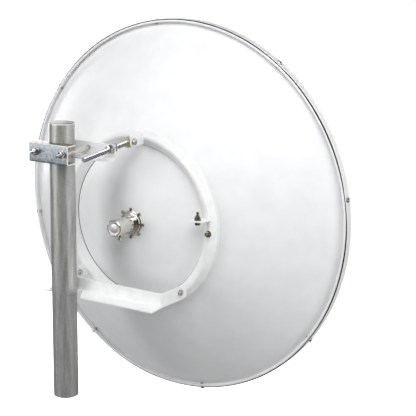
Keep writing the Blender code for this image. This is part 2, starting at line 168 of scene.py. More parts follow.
def cylinder(radius: float, low: float, high: float) -> list[Point]:
    """Give the profile of a plain cutter, from one distance along its axis to another."""
    return [(0.0, low), (radius, low), (radius, high), (0.0, high)]


def arc(centre: Point, radius: float, start: float, end: float, steps: int) -> list[Point]:
    """Give the ends of the chords of an arc, from one angle in degrees to another."""
    turns = [math.radians(start + (end - start) * k / steps) for k in range(steps + 1)]
    return [(centre[0] + radius * math.cos(t), centre[1] + radius * math.sin(t)) for t in turns]


def rounded(corners: Sequence[Point], radii: Sequence[float], closed: bool = False,
            steps: int = 6) -> list[Point]:
    """Round the corners of a path with true arcs.

    Args:
        corners: The sharp path.
        radii: Radius at each corner, 0 for a corner that stays sharp.
        closed: Whether the last corner joins the first.
        steps: Chords in each arc.

    Returns:
        The rounded path.
    """
    count = len(corners)
    path: list[Point] = []
    for i, corner in enumerate(corners):
        radius = radii[i]
        if radius <= 0.0 or (not closed and i in (0, count - 1)):
            path.append(corner)
            continue
        here = Vector(corner)
        back = (Vector(corners[i - 1]) - here).normalized()
        ahead = (Vector(corners[(i + 1) % count]) - here).normalized()
        half = back.angle(ahead) / 2.0
        middle = here + (back + ahead).normalized() * (radius / math.sin(half))
        first = here + back * (radius / math.tan(half)) - middle
        side = 1.0 if back.x * ahead.y - back.y * ahead.x < 0.0 else -1.0
        for k in range(steps + 1):
            ray = first.copy()
            ray.rotate(Matrix.Rotation(side * (math.pi - 2.0 * half) * k / steps, 2))
            path.append((middle.x + ray.x, middle.y + ray.y))
    return path


def select_only(piece: Piece) -> None:
    """Select one piece, alone, and make it active."""
    bpy.ops.object.select_all(action="DESELECT")
    piece.select_set(True)
    bpy.context.view_layer.objects.active = piece


def named(name: str) -> Piece:
    """Name the active object and its mesh."""
    piece = bpy.context.active_object
    piece.name = piece.data.name = name
    return piece


def bake_place() -> None:
    """Put the active object's place into its mesh."""
    bpy.ops.object.transform_apply(location=True, rotation=True, scale=True)


def smooth_by(degrees: float) -> None:
    """Smooth the active object, but not its edges sharper than this."""
    bpy.ops.object.shade_smooth_by_angle(angle=math.radians(degrees))


def merge_doubles(threshold: float = MERGE_M) -> None:
    """Merge the doubles of the mesh being edited, and select all of it."""
    bpy.ops.mesh.select_all(action="SELECT")
    bpy.ops.mesh.remove_doubles(threshold=threshold)
    bpy.ops.mesh.select_all(action="SELECT")


def trace(name: str, points: Sequence[Vector], closed: bool) -> Piece:
    """Draw a wire through points by extruding one vertex, and stay in edit mode.

    Args:
        name: Name of the piece.
        points: Places in metres.
        closed: Whether the wire comes back to its first point.

    Returns:
        The piece with its wire, all of it selected.
    """
    bpy.ops.object.select_all(action="DESELECT")
    bpy.ops.mesh.primitive_plane_add(size=MM, location=points[0])
    piece = named(name)
    bpy.ops.object.mode_set(mode="EDIT")
    bpy.ops.mesh.select_mode(type="VERT")
    bpy.ops.mesh.select_all(action="SELECT")
    bpy.ops.mesh.merge(type="CENTER")
    stops = [*points, points[0]] if closed else list(points)
    for here, there in zip(stops, stops[1:]):
        bpy.ops.mesh.extrude_vertices_move(TRANSFORM_OT_translate={"value": there - here})
    bpy.ops.mesh.select_all(action="SELECT")
    if closed:
        merge_doubles()
    return piece


def settle(piece: Piece, smooth: float = SMOOTH_DEG) -> Piece:
    """Leave edit mode with merged doubles, outward normals and the place in the mesh."""
    merge_doubles()
    bpy.ops.mesh.normals_make_consistent(inside=False)
    bpy.ops.object.mode_set(mode="OBJECT")
    bake_place()
    smooth_by(smooth)
    return piece


def modify(piece: Piece, kind: str, **settings: Any) -> Piece:
    """Add a modifier of a kind with its settings and apply it."""
    select_only(piece)
    modifier = piece.modifiers.new(kind.lower(), kind)
    for key, value in settings.items():
        setattr(modifier, key, value)
    bpy.ops.object.modifier_apply(modifier=modifier.name)
    return piece


def soften(piece: Piece, width: float, over: float = 30.0) -> Piece:
    """Bevel a piece's edges over an angle in degrees by a width in millimetres."""
    modify(piece, "BEVEL", width=width * MM, segments=2, limit_method="ANGLE",
           angle_limit=math.radians(over), harden_normals=False)
    smooth_by(over)
    return piece


def combine(base: Piece, others: Sequence[Piece], operation: str) -> Piece:
    """Join, cut or intersect solids with exact Booleans.

    Args:
        base: The piece that stays.
        others: The pieces used up.
        operation: UNION, DIFFERENCE or INTERSECT.

    Returns:
        The base piece.
    """
    for other in others:
        modify(base, "BOOLEAN", operation=operation, solver="EXACT", object=other)
        bpy.data.objects.remove(other, do_unlink=True)
    select_only(base)
    smooth_by(SMOOTH_DEG)
    return base


def turned(name: str, centre: Vector, axis: Triple, profile: Sequence[Point],
           steps: int = 48, closed: bool = False, smooth: float = SMOOTH_DEG) -> Piece:
    """Spin a profile of (radius, distance along the axis) about an axis.

    Args:
        name: Name of the piece.
        centre: Zero of the axis, in metres.
        axis: Direction of the axis.
        profile: Radii and distances in millimetres.
        steps: Sides round the axis.
        closed: Whether the profile is a closed section, as of a ring.
        smooth: Edges sharper than this angle stay sharp, in degrees.

    Returns:
        The turned piece.
    """
    along = Vector(axis).normalized()
    side = Vector(X if abs(along.x) < 0.9 else Z)
    side = (side - along * side.dot(along)).normalized()
    points = [centre + (side * radius + along * reach) * MM for radius, reach in profile]
    piece = trace(name, points, closed)
    bpy.ops.mesh.spin(steps=steps, angle=FULL_TURN, center=centre, axis=along)
    return settle(piece, smooth)


def plate(name: str, outline: Sequence[Vector], thickness: Triple, bevel: float = 0.0) -> Piece:
    """Cut a plate to an outline and break its edges.

    Args:
        name: Name of the piece.
        outline: Corners of one face, in metres.
        thickness: From that face to the other, in millimetres.
        bevel: Width of the broken edges in millimetres, 0 to leave them.

    Returns:
        The plate.
    """
    piece = trace(name, outline, closed=True)
    bpy.ops.mesh.edge_face_add()
    bpy.ops.mesh.select_all(action="SELECT")
    bpy.ops.mesh.extrude_region_move(TRANSFORM_OT_translate={"value": Vector(thickness) * MM})
    settle(piece)
    return soften(piece, bevel) if bevel > 0.0 else piece


def folded(name: str, path: Sequence[Vector], width: Triple, sheet: float) -> Piece:
    """Fold a strip of sheet metal.

    Args:
        name: Name of the piece.
        path: Middle of the sheet at one end, in metres.
        width: From that end to the other, in millimetres.
        sheet: Thickness in millimetres.

    Returns:
        The folded sheet.
    """
    piece = trace(name, path, closed=False)
    bpy.ops.mesh.extrude_edges_move(TRANSFORM_OT_translate={"value": Vector(width) * MM})
    settle(piece)
    return modify(piece, "SOLIDIFY", thickness=sheet * MM, offset=0.0, use_even_offset=True)


def hexagonal(blank: Piece, across_flats: float, height: float) -> Piece:
    """Cut a turned blank on the bench to a hexagon."""
    bpy.ops.object.select_all(action="DESELECT")
    bpy.ops.mesh.primitive_cylinder_add(vertices=6, radius=across_flats / math.sqrt(3.0) * MM,
                                        depth=(height + 2.0) * MM,
                                        location=(0.0, 0.0, height / 2.0 * MM))
    prism = named("prism")
    bake_place()
    return combine(blank, [prism], "INTERSECT")


def threaded_bar(name: str, radius: float, pitch: float, length: float) -> Piece:
    """Roll a threaded bar on the bench, from zero up +Z, with a chamfer at each end.

    Args:
        name: Name of the piece.
        radius: Radius over the crests in millimetres.
        pitch: Pitch in millimetres.
        length: Length in millimetres.

    Returns:
        The bar, closed at both ends.
    """
    steps, merge = 18, 1e-6
    depth, low = 0.55 * pitch, -2.0 * pitch * MM
    root = (radius - depth) * MM
    wire = [Vector((root, 0.0, low)), Vector((radius * MM, 0.0, low + pitch * MM / 2.0)),
            Vector((root, 0.0, low + pitch * MM))]
    piece = trace(name, wire, closed=False)
    bpy.ops.object.mode_set(mode="OBJECT")
    bake_place()
    modify(piece, "SCREW", angle=FULL_TURN, screw_offset=pitch * MM,
           iterations=int(length / pitch) + 4, steps=steps, render_steps=steps,
           use_merge_vertices=True, merge_threshold=merge)
    bpy.ops.object.mode_set(mode="EDIT")
    merge_doubles(merge)
    for height, inner in ((0.0, True), (length * MM, False)):
        bpy.ops.mesh.select_all(action="SELECT")
        bpy.ops.mesh.bisect(plane_co=(0.0, 0.0, height), plane_no=Z, use_fill=True,
                            clear_inner=inner, clear_outer=not inner)
    settle(piece, 50.0)
    crest, chamfer, trim = radius + 0.2, depth + 0.4, 0.02
    blank = turned("blank", Vector(), Z,
                   [(0.0, trim), (crest - chamfer, trim), (crest, chamfer),
                    (crest, length - chamfer), (crest - chamfer, length - trim),
                    (0.0, length - trim)], steps)
    return combine(piece, [blank], "INTERSECT")


def placed_copy(source: Piece, name: str, place: Matrix) -> Piece:
    """Copy a piece from the bench to its place, with its own mesh.

    Args:
        source: The piece on the bench.
        name: Name of the copy.
        place: Matrix from the bench to the frame.

    Returns:
        The copy, its place in its mesh.
    """
    select_only(source)
    bpy.ops.object.duplicate(linked=False)
    copy = named(name)
    copy.matrix_world = place
    bake_place()
    return copy


def weld_bead(name: str, start: Vector, end: Vector, radius: float) -> Piece:
    """Lay a weld bead of a radius in millimetres, with its ripples, between two points."""
    length = (end - start).length / MM
    ripples = max(4, round(length / (0.9 * radius)))
    profile: list[Point] = [(0.0, -0.4 * radius)]
    for k in range(2 * ripples + 1):
        share = k / (2.0 * ripples)
        swell = 1.0 if k % 2 else 0.82
        taper = min(1.0, 0.55 + 4.0 * min(share, 1.0 - share))
        profile.append((radius * swell * taper, length * share))
    profile.append((0.0, length + 0.4 * radius))
    return turned(name, start, end - start, profile, 12, smooth=60.0)


def srgb(code: str) -> tuple[float, float, float, float]:
    """Turn an sRGB hex colour to the linear one that a node takes."""
    parts = [int(code[i:i + 2], 16) / 255.0 for i in (1, 3, 5)]
    linear = [p / 12.92 if p <= 0.04045 else ((p + 0.055) / 1.055) ** 2.4 for p in parts]
    return (linear[0], linear[1], linear[2], 1.0)


def per_metre(size_mm: float) -> float:
    """Give the texture scale at which one feature of a pattern is that many millimetres."""
    return 1.0 / (size_mm * MM)


@dataclass
class Graph:
    """A node tree, with short ways to add what the materials and the surround share."""

    tree: bpy.types.NodeTree
    space: str = "Object"
    where: Socket = field(init=False)

    def __post_init__(self) -> None:
        """Start from the coordinates of the space."""
        self.where = self.add("TexCoord").outputs[self.space]

    def add(self, kind: str, settings: dict[Any, Any] | None = None,
            links: dict[Any, Socket] | None = None) -> bpy.types.Node:
        """Add a node with its settings and links.

        Args:
            kind: Blender's name for the node, without its ShaderNode.
            settings: Properties by name, and input values by name or number.
            links: Sockets that feed the inputs, by name or number.

        Returns:
            The new node.
        """
        node = self.tree.nodes.new("ShaderNode" + kind)
        for key, value in (settings or {}).items():
            if isinstance(key, str) and hasattr(node, key):
                setattr(node, key, value)
            else:
                node.inputs[key].default_value = value
        for key, socket in (links or {}).items():
            self.tree.links.new(socket, node.inputs[key])
        return node

    def noise(self, size_mm: float, detail: float, rough: float = 0.5,
              where: Socket | None = None) -> Socket:
        """Add noise with features of a size, over the object or another set of places."""
        node = self.add("TexNoise", {"Scale": per_metre(size_mm), "Detail": detail,
                                     "Roughness": rough}, {"Vector": where or self.where})
        return node.outputs["Fac"]

    def drawn(self, stretch: Triple) -> Socket:
        """Give the places scaled along each axis, so that a pattern is drawn out."""
        return self.add("Mapping", {"Scale": stretch}, {"Vector": self.where}).outputs[0]

    def along(self, axis: str) -> Socket:
        """Give one coordinate of the places."""
        return self.add("SeparateXYZ", {}, {0: self.where}).outputs[axis]

    def ramp(self, value: Socket, low: float, high: float, start: float = 0.0,
             end: float = 1.0) -> Socket:
        """Map a value's range from low to high on one from start to end, held beyond them."""
        return self.add("MapRange", {"From Min": low, "From Max": high, "To Min": start,
                                     "To Max": end}, {"Value": value}).outputs[0]

    def maths(self, operation: str, first: Socket, second: Socket) -> Socket:
        """Add, multiply or compare two values."""
        return self.add("Math", {"operation": operation}, {0: first, 1: second}).outputs[0]

    def mix(self, share: Socket, *colours: Socket | str) -> Socket:
        """Mix two colours, each a hex code or a socket, by the second one's share."""
        settings: dict[Any, Any] = {"data_type": "RGBA"}
        links: dict[Any, Socket] = {0: share}
        for place, colour in zip((6, 7), colours):
            if isinstance(colour, str):
                settings[place] = srgb(colour)
            else:
                links[place] = colour
        return self.add("Mix", settings, links).outputs[2]

    def link(self, colour: Socket, gloss: Socket | None, relief: Socket, strength: float,
             depth_mm: float) -> None:
        """Feed a material's shader.

        Args:
            colour: The base colour.
            gloss: The roughness, or None where it is even.
            relief: Height of the surface.
            strength: Strength of the relief.
            depth_mm: Depth of the relief at full strength.
        """
        bump = self.add("Bump", {"Strength": strength, "Distance": depth_mm * MM},
                        {"Height": relief})
        shader = self.tree.nodes["Principled BSDF"]
        for name, socket in (("Base Color", colour), ("Roughness", gloss),
                             ("Normal", bump.outputs["Normal"])):
            if socket:
                self.tree.links.new(socket, shader.inputs[name])


@dataclass(frozen=True)
class Finish:
    """A finish with one main colour; its subclasses add their own pattern.

    Attributes:
        name: Common name of the material.
        slot: The record's slot that it mostly fills.
        colour: Main colour, sRGB hex.
        metallic: 1 for bare metal, 0 for paint, plastic and rubber.
        roughness: Typical roughness of the surface.
    """

    name: str
    slot: Slot
    colour: str
    metallic: float
    roughness: float

    def build(self, datum: Datum) -> bpy.types.Material:
        """Make the material, with its pattern placed from the dish's centre."""
        material = bpy.data.materials.new(self.name)
        material.use_nodes = True
        shader = material.node_tree.nodes["Principled BSDF"]
        shader.inputs["Base Color"].default_value = srgb(self.colour)
        shader.inputs["Metallic"].default_value = self.metallic
        shader.inputs["Roughness"].default_value = self.roughness
        self.pattern(Graph(material.node_tree), shader, datum)
        material.diffuse_color = srgb(self.colour)
        return material

    def pattern(self, graph: Graph, shader: bpy.types.Node, datum: Datum) -> None:
        """Add what the plain finish doesn't have; the base class adds nothing."""

    def gloss(self, graph: Graph, value: Socket, low: float, high: float, *step: float) -> Socket:
        """Let the roughness follow a value, by a step below and a step above its usual one."""
        return graph.ramp(value, low, high, self.roughness - step[0], self.roughness + step[1])


@dataclass(frozen=True)
class PowderCoat(Finish):
    """Baked polyester powder coat: a satin film with orange peel and faint clouding."""

    cloud: str = "#E9E9E6"
    cloud_mm: float = 60.0
    peel_mm: float = 2.4
    peel: float = 0.05

    def pattern(self, graph: Graph, shader: bpy.types.Node, datum: Datum) -> None:
        """Cloud the colour and gloss by hand-sized patches, and ripple the film finely."""
        clouds = graph.noise(self.cloud_mm, 3.0, 0.55)
        paint = graph.mix(graph.ramp(clouds, 0.35, 0.7), self.colour, self.cloud)
        # Real orange peel is 0.5 to 1 mm; it is drawn coarser, as finer doesn't show.
        graph.link(paint, self.gloss(graph, clouds, 0.0, 1.0, 0.03, 0.05),
                   graph.noise(self.peel_mm, 2.0), self.peel, 0.4)


@dataclass(frozen=True)
class HotDipGalvanised(Finish):
    """Weathered hot-dip galvanised steel: drawn run marks, a fine grain and a few specks."""

    dark: str = "#A2A4A2"
    bright: str = "#CCCDCA"
    speck: str = "#5A564F"
    top: str = "#4C4843"
    ground_off: str = "#F4F3EF"
    top_above: float = 314.9
    streak_mm: float = 9.0
    grain_mm: float = 4.0
    speck_mm: float = 26.0

    def pattern(self, graph: Graph, shader: bpy.types.Node, datum: Datum) -> None:
        """Mix run marks, grain and specks; darken the level top and brighten its edge."""
        # Run marks are about twelve times as long as they are wide, along the pipe.
        streak = graph.noise(self.streak_mm, 4.0, 0.6, graph.drawn((1.0, 1.0, 0.08)))
        grain = graph.noise(self.grain_mm, 3.0)
        tone = graph.add("Mix", {"data_type": "FLOAT", 0: 0.35}, {2: streak, 3: grain}).outputs[0]
        zinc = graph.mix(graph.ramp(tone, 0.36, 0.66), self.dark, self.bright)
        dots = graph.add("TexVoronoi", {"Scale": per_metre(self.speck_mm), "Randomness": 1.0},
                         {"Vector": graph.where}).outputs["Distance"]
        speckled = graph.mix(graph.ramp(dots, 0.04, 0.08, 0.6, 0.0), zinc, self.speck)
        level, top = graph.along("Z"), datum.at(0.0, 0.0, self.top_above).z
        shoulder = graph.ramp(level, top - 3.4 * MM, top - 2.6 * MM, 0.0, 0.8)
        worn = graph.mix(shoulder, speckled, self.ground_off)
        weathered = graph.mix(graph.ramp(level, top, top + 0.4 * MM), worn, self.top)
        graph.link(weathered, self.gloss(graph, tone, 0.35, 0.65, 0.04, 0.06), grain, 0.12, 0.4)


@dataclass(frozen=True)
class Film:
    """A patch where the passivating film of zinc plate stays thick.

    Attributes:
        colour: sRGB hex of the patch.
        place: Its middle, in millimetres from the dish's centre.
        reach: Distance at which it has faded out.
        share: Its strength in the middle.
        above: Height below which it has no effect.
    """

    colour: str
    place: tuple[float, float, float]
    reach: float
    share: float
    above: float = -9999.0


@dataclass(frozen=True)
class ZincPlate(Finish):
    """Electroplated zinc with a passivated film: bluish, or yellow where the film is thick.

    Attributes:
        patch: Darker colour of the mottle.
        mottle_mm: Size of the mottle.
        films: Patches of thick film.
        highlight_corner: Corner of the right end (x) and top bend (y and z) that carry a painted
            highlight, None where there are none.
        highlight_colour: Colour of that painted highlight.
    """

    patch: str = "#8E9AA6"
    mottle_mm: float = 6.0
    films: tuple[Film, ...] = ()
    # The right end and the top bend can be painted pale and less metallic: a painted highlight.
    highlight_corner: tuple[float, float, float] | None = None
    highlight_colour: str = "#F6F5F2"

    def pattern(self, graph: Graph, shader: bpy.types.Node, datum: Datum) -> None:
        """Mottle the plating, and tint it where the passivating film stays thick."""
        mottle = graph.noise(self.mottle_mm, 5.0, 0.6)
        colour = graph.mix(graph.ramp(mottle, 0.36, 0.66), self.patch, self.colour)
        for film in self.films:
            near = graph.add("VectorMath", {"operation": "DISTANCE", 1: datum.at(*film.place)},
                             {0: graph.where}).outputs["Value"]
            fade = graph.ramp(near, 0.3 * film.reach * MM, film.reach * MM, film.share, 0.0)
            floor = datum.at(0.0, 0.0, film.above).z
            rise = graph.ramp(graph.along("Z"), floor, floor + MM)
            colour = graph.mix(graph.maths("MULTIPLY", fade, rise), colour, film.colour)
        # Paint the highlight on the right end and the top bend.
        if self.highlight_corner:
            colour = self.rub(graph, shader, colour, datum.at(*self.highlight_corner))
        graph.link(colour, self.gloss(graph, mottle, 0.3, 0.7, 0.06, 0.1), mottle, 0.12, 0.3)

    def rub(self, graph: Graph, shader: bpy.types.Node, colour: Socket, corner: Vector) -> Socket:
        """Paint a highlight on the sheared right end and the top bend: paler colour, less metallic.

        Args:
            graph: The material's nodes.
            shader: Its shader.
            colour: Colour of the plating.
            corner: Where the painted highlight begins, in metres.

        Returns:
            The colour with the painted highlight.
        """
        end = graph.ramp(graph.along("X"), corner.x - 0.3 * MM, corner.x)
        near = graph.ramp(graph.along("Y"), corner.y, corner.y + MM, 1.0, 0.0)
        over = graph.ramp(graph.along("Z"), corner.z - 0.5 * MM, corner.z)
        share = graph.maths("MAXIMUM", end, graph.maths("MULTIPLY", near, over))
        graph.tree.links.new(graph.ramp(share, 0.0, 1.0, self.metallic, 0.15),
                             shader.inputs["Metallic"])
        return graph.mix(share, colour, self.highlight_colour)


@dataclass(frozen=True)
class MachinedMetal(Finish):
    """Turned or rolled bare metal: fine tool marks, and slight random stains."""

    stain: str = "#8C8782"
    mark_mm: float = 1.2
    stretch: tuple[float, float, float] = (0.04, 1.0, 0.04)
    stain_mm: float = 12.0

    def pattern(self, graph: Graph, shader: bpy.types.Node, datum: Datum) -> None:
        """Draw tool marks across the axis and cloud the gloss."""
        # Tool marks are 0.1 to 0.3 mm apart; they are drawn coarser, as finer doesn't show.
        marks = graph.noise(self.mark_mm, 3.0, where=graph.drawn(self.stretch))
        stains = graph.noise(self.stain_mm, 3.0)
        metal = graph.mix(graph.ramp(stains, 0.45, 0.75, 0.0, 0.6), self.colour, self.stain)
        graph.link(metal, self.gloss(graph, marks, 0.3, 0.7, 0.05, 0.08), marks, 0.08, 0.2)


@dataclass(frozen=True)
class MouldedPlastic(Finish):
    """Moulded plastic or rubber: a fine grain, and a slight change of tone over its width."""

    shade: str = "#E4E2D9"
    shade_mm: float = 180.0
    grain_mm: float = 1.6
    specular: float = 0.5

    def pattern(self, graph: Graph, shader: bpy.types.Node, datum: Datum) -> None:
        """Shift the tone slowly and grain the surface."""
        shader.inputs["Specular IOR Level"].default_value = self.specular
        slow = graph.ramp(graph.noise(self.shade_mm, 2.0), 0.35, 0.7)
        graph.link(graph.mix(slow, self.colour, self.shade), None,
                   graph.noise(self.grain_mm, 2.0), 0.06, 0.3)


class Look(Enum):
    """Every finish of the antenna."""

    # White polyester powder on spun aluminium: satin, so soft highlights only.
    DISH_PAINT = PowderCoat("polyester_powder_coat_on_aluminium", Slot.DISH, "#F1F2F3", 0.0, 0.42,
                            cloud="#ECEDEE")
    # The same powder on folded steel: a little glossier and thicker.
    STEEL_PAINT = PowderCoat("polyester_powder_coat_on_steel", Slot.WHITE, "#F2F3F3", 0.0, 0.36,
                             cloud="#EAEBEB", cloud_mm=35.0, peel=0.08)
    # Hot-dip galvanised pipe: dull zinc grey with run marks, browner on its level top.
    GALVANISED = HotDipGalvanised("hot_dip_galvanised_steel", Slot.GALVANISED, "#B2B4B2", 0.65,
                                  0.42)
    # Blue-passivated zinc plate on pressed steel: a cool, mottled grey, brown on top, with a
    # painted highlight on the right end and the top bend.
    ZINC = ZincPlate("blue_passivated_zinc_plate", Slot.ZINC, "#B1B6BA", 0.9, 0.38,
                     patch="#7E868D", mottle_mm=9.0, highlight_corner=(-68.9, -472.4, 257.2),
                     films=(Film("#B7A14A", (-76.0, -450.0, 208.0), 17.0, 0.85),
                            Film("#7A6F68", (-170.0, -445.0, 259.0), 160.0, 0.95, 257.6),
                            Film("#9C8458", (-85.0, -440.0, 259.0), 45.0, 0.9, 257.6)))
    # The same plating on rolled threads, paler and more finely mottled.
    ZINC_BRIGHT = ZincPlate("zinc_plated_thread", Slot.ZINC, "#DEDDE0", 0.8, 0.24,
                            patch="#A9A7AC", mottle_mm=4.0)
    # The same on a stud's smooth shank: pale and cream.
    SHANK = ZincPlate("zinc_plated_shank", Slot.ZINC, "#EFEBE1", 0.4, 0.3, patch="#D6D0C4")
    # Yellow-passivated zinc: a thin pale film with a green cast.
    YELLOW = ZincPlate("yellow_passivated_zinc_plate", Slot.YELLOW, "#CDC99A", 0.9, 0.36,
                       patch="#B5AE76", mottle_mm=5.0)
    # Stainless steel bolts: bright and warm in a white room.
    STAINLESS = MachinedMetal("stainless_steel", Slot.BOLT, "#D6D1C9", 1.0, 0.16,
                              stain="#8F867B", stain_mm=7.0)
    # Oiled stainless screws: darker, with bronze stains.
    DARK_SCREW = MachinedMetal("oiled_stainless_steel", Slot.BOLT, "#8E8372", 1.0, 0.26,
                               stain="#4E453A", stain_mm=4.0)
    # Bare turned aluminium: pale, with tool marks round it.
    TURNED = MachinedMetal("turned_aluminium", Slot.FEED, "#E3E1DC", 1.0, 0.17,
                           stain="#C0BCB4", stain_mm=25.0)
    # The same, bead-blasted on the bare end face.
    BLASTED = MachinedMetal("blasted_aluminium", Slot.FEED, "#D5D5D3", 1.0, 0.42,
                            stain="#B4B3B0", mark_mm=2.4, stain_mm=9.0)
    # Bright nickel on brass, as on coaxial connectors.
    NICKEL = MachinedMetal("bright_nickel_plate", Slot.CONNECTOR, "#DDD8D0", 1.0, 0.1,
                           stain="#A89D88", stretch=(0.04, 0.04, 1.0))
    # Chromated brass key.
    GILT = MachinedMetal("chromated_brass", Slot.CONNECTOR, "#E4CF8C", 1.0, 0.3, stain="#BFA563")
    # Off-white moulded cover plastic, satin.
    COVER = MouldedPlastic("moulded_cover_plastic", Slot.RADOME, "#FAFAF9", 0.0, 0.4,
                           shade="#F3F3F1")
    # Black extruded rubber seal, matt.
    RUBBER = MouldedPlastic("black_extruded_rubber", Slot.SEAL, "#080707", 0.0, 0.9,
                            shade="#120F0F", shade_mm=20.0, grain_mm=0.9, specular=0.12)
    # Grey-brown bead in the joint at the ring's foot, as dark as the shade in that gap: painted
    # shade.
    SEALANT = MouldedPlastic("grey_bead_painted_shade", Slot.SEAL, "#6A625C", 0.0, 0.7,
                             shade="#7B746D", shade_mm=30.0)


@dataclass
class Fasteners:
    """Fastener patterns, each modelled once on the bench, seated at zero and rising up +Z."""

    patterns: dict[str, Piece] = field(default_factory=dict)

    def keep(self, key: str, make: Callable[[str], Piece]) -> Piece:
        """Give the pattern with this name, made by a function if it isn't there yet."""
        if key not in self.patterns:
            self.patterns[key] = make(key)
        return self.patterns[key]

    def head(self, across_flats: float, height: float, recess: float = 0.0) -> Piece:
        """Give a hexagon head with a washer face and a chamfered crown.

        Args:
            across_flats: Width over the flats in millimetres.
            height: Height in millimetres.
            recess: Radius of the hollow in the crown, 0 for none.

        Returns:
            The pattern on the bench.
        """
        inscribed, corner = across_flats / 2.0, across_flats / math.sqrt(3.0) + 0.1
        crown = [(inscribed * 0.94, height), (0.0, height)]
        if recess > 0.0:
            crown[1:] = [(recess, height), (recess * 0.8, height - 1.4), (0.0, height - 1.6)]
        section = [(0.0, 0.0), (inscribed * 0.96, 0.0), (inscribed * 0.96, 0.4), (corner, 0.9),
                   (corner, height - 1.1), *crown]
        return self.keep(f"head_{across_flats}_{height}_{recess}", lambda key: hexagonal(
            turned(key, Vector(), Z, section), across_flats, height))

    def nut(self, across_flats: float, height: float, bore: float) -> Piece:
        """Give a hexagon nut, chamfered on both faces, with a countersunk bore."""
        flat, corner = across_flats / 2.0 * 0.95, across_flats / math.sqrt(3.0) + 0.1
        section = [(bore, 0.7), (bore + 0.7, 0.0), (flat, 0.0), (corner, 1.2),
                   (corner, height - 1.2), (flat, height), (bore + 0.7, height),
                   (bore, height - 0.7)]
        return self.keep(f"nut_{across_flats}_{height}_{bore}", lambda key: hexagonal(
            turned(key, Vector(), Z, section, closed=True), across_flats, height))

    def washer(self, bore: float, outer: float, height: float) -> Piece:
        """Give a flat washer with rounded edges."""
        soft = 0.25 * height
        section = [(bore, soft), (bore + soft, 0.0), (outer - soft, 0.0), (outer, soft),
                   (outer, height - soft), (outer - soft, height), (bore + soft, height),
                   (bore, height - soft)]
        return self.keep(f"washer_{bore}_{outer}_{height}",
                         lambda key: turned(key, Vector(), Z, section, 40, closed=True))

    def thread(self, radius: float, pitch: float, length: float) -> Piece:
        """Give a threaded bar."""
        return self.keep(f"thread_{radius}_{pitch}_{length}",
                         lambda key: threaded_bar(key, radius, pitch, length))

    def put_away(self) -> None:
        """Clear the bench."""
        for pattern in self.patterns.values():
            bpy.data.objects.remove(pattern, do_unlink=True)
        self.patterns.clear()


@dataclass
class Assembly:
    """What every sub-assembly shares: the datum, the looks, the bench and its list of pieces."""

    body: ClassVar[Body] = Body.DISH
    datum: Datum
    looks: dict[Look, bpy.types.Material]
    bench: Fasteners
    made: list[str] = field(default_factory=list)

    def build(self) -> None:
        """Build the pieces; each sub-assembly has its own way."""
        raise NotImplementedError

    def dress(self, piece: Piece, look: Look, *nodes: str, slot: Slot | None = None,
              body: Body | None = None) -> None:
        """Give a piece its finish and its body, and hide the CAD nodes that it stands for.

        Args:
            piece: The finished piece.
            look: Its finish.
            *nodes: CAD nodes that it replaces.
            slot: The record's material slot, where it isn't the finish's own; not used.
            body: The body that it rides on, where it isn't the sub-assembly's own.
        """
        slot, body = slot or look.value.slot, body or self.body
        piece.data.materials.clear()
        piece.data.materials.append(self.looks[look])
        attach(piece, body.value)
        if nodes:
            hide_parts(*nodes)
        self.made.append(piece.name)

    def bar(self, name: str, start: Triple, axis: Triple, profile: Sequence[Point],
            steps: int = 40, closed: bool = False) -> Piece:
        """Turn a profile about an axis through a point given in millimetres."""
        return turned(name, self.datum.at(*start), axis, profile, steps, closed)

    def on_pole(self, name: str, profile: Sequence[Point], steps: int = 96,
                closed: bool = False) -> Piece:
        """Turn a profile of radii and heights about the pipe's axis."""
        return self.bar(name, (*POLE, 0.0), Z, profile, steps, closed)

    def spun(self, name: str, profile: Sequence[Point], steps: int, closed: bool = False) -> Piece:
        """Turn a profile about the dish's axis."""
        return self.bar(name, CENTRE, Y, profile, steps, closed)

    def copy(self, pattern: Piece, name: str, point: Triple, axis: Triple,
             turn: float = 0.0) -> Piece:
        """Copy a pattern to a point in millimetres, along an axis, turned by degrees."""
        return placed_copy(pattern, name, self.datum.stand(point, axis, turn))

    def report(self) -> None:
        """Log the pieces of this sub-assembly."""
        for name in self.made:
            triangles = sum(len(p.vertices) - 2 for p in bpy.data.objects[name].data.polygons)
            log.info("%s: %s, %d triangles", type(self).__name__, name, triangles)


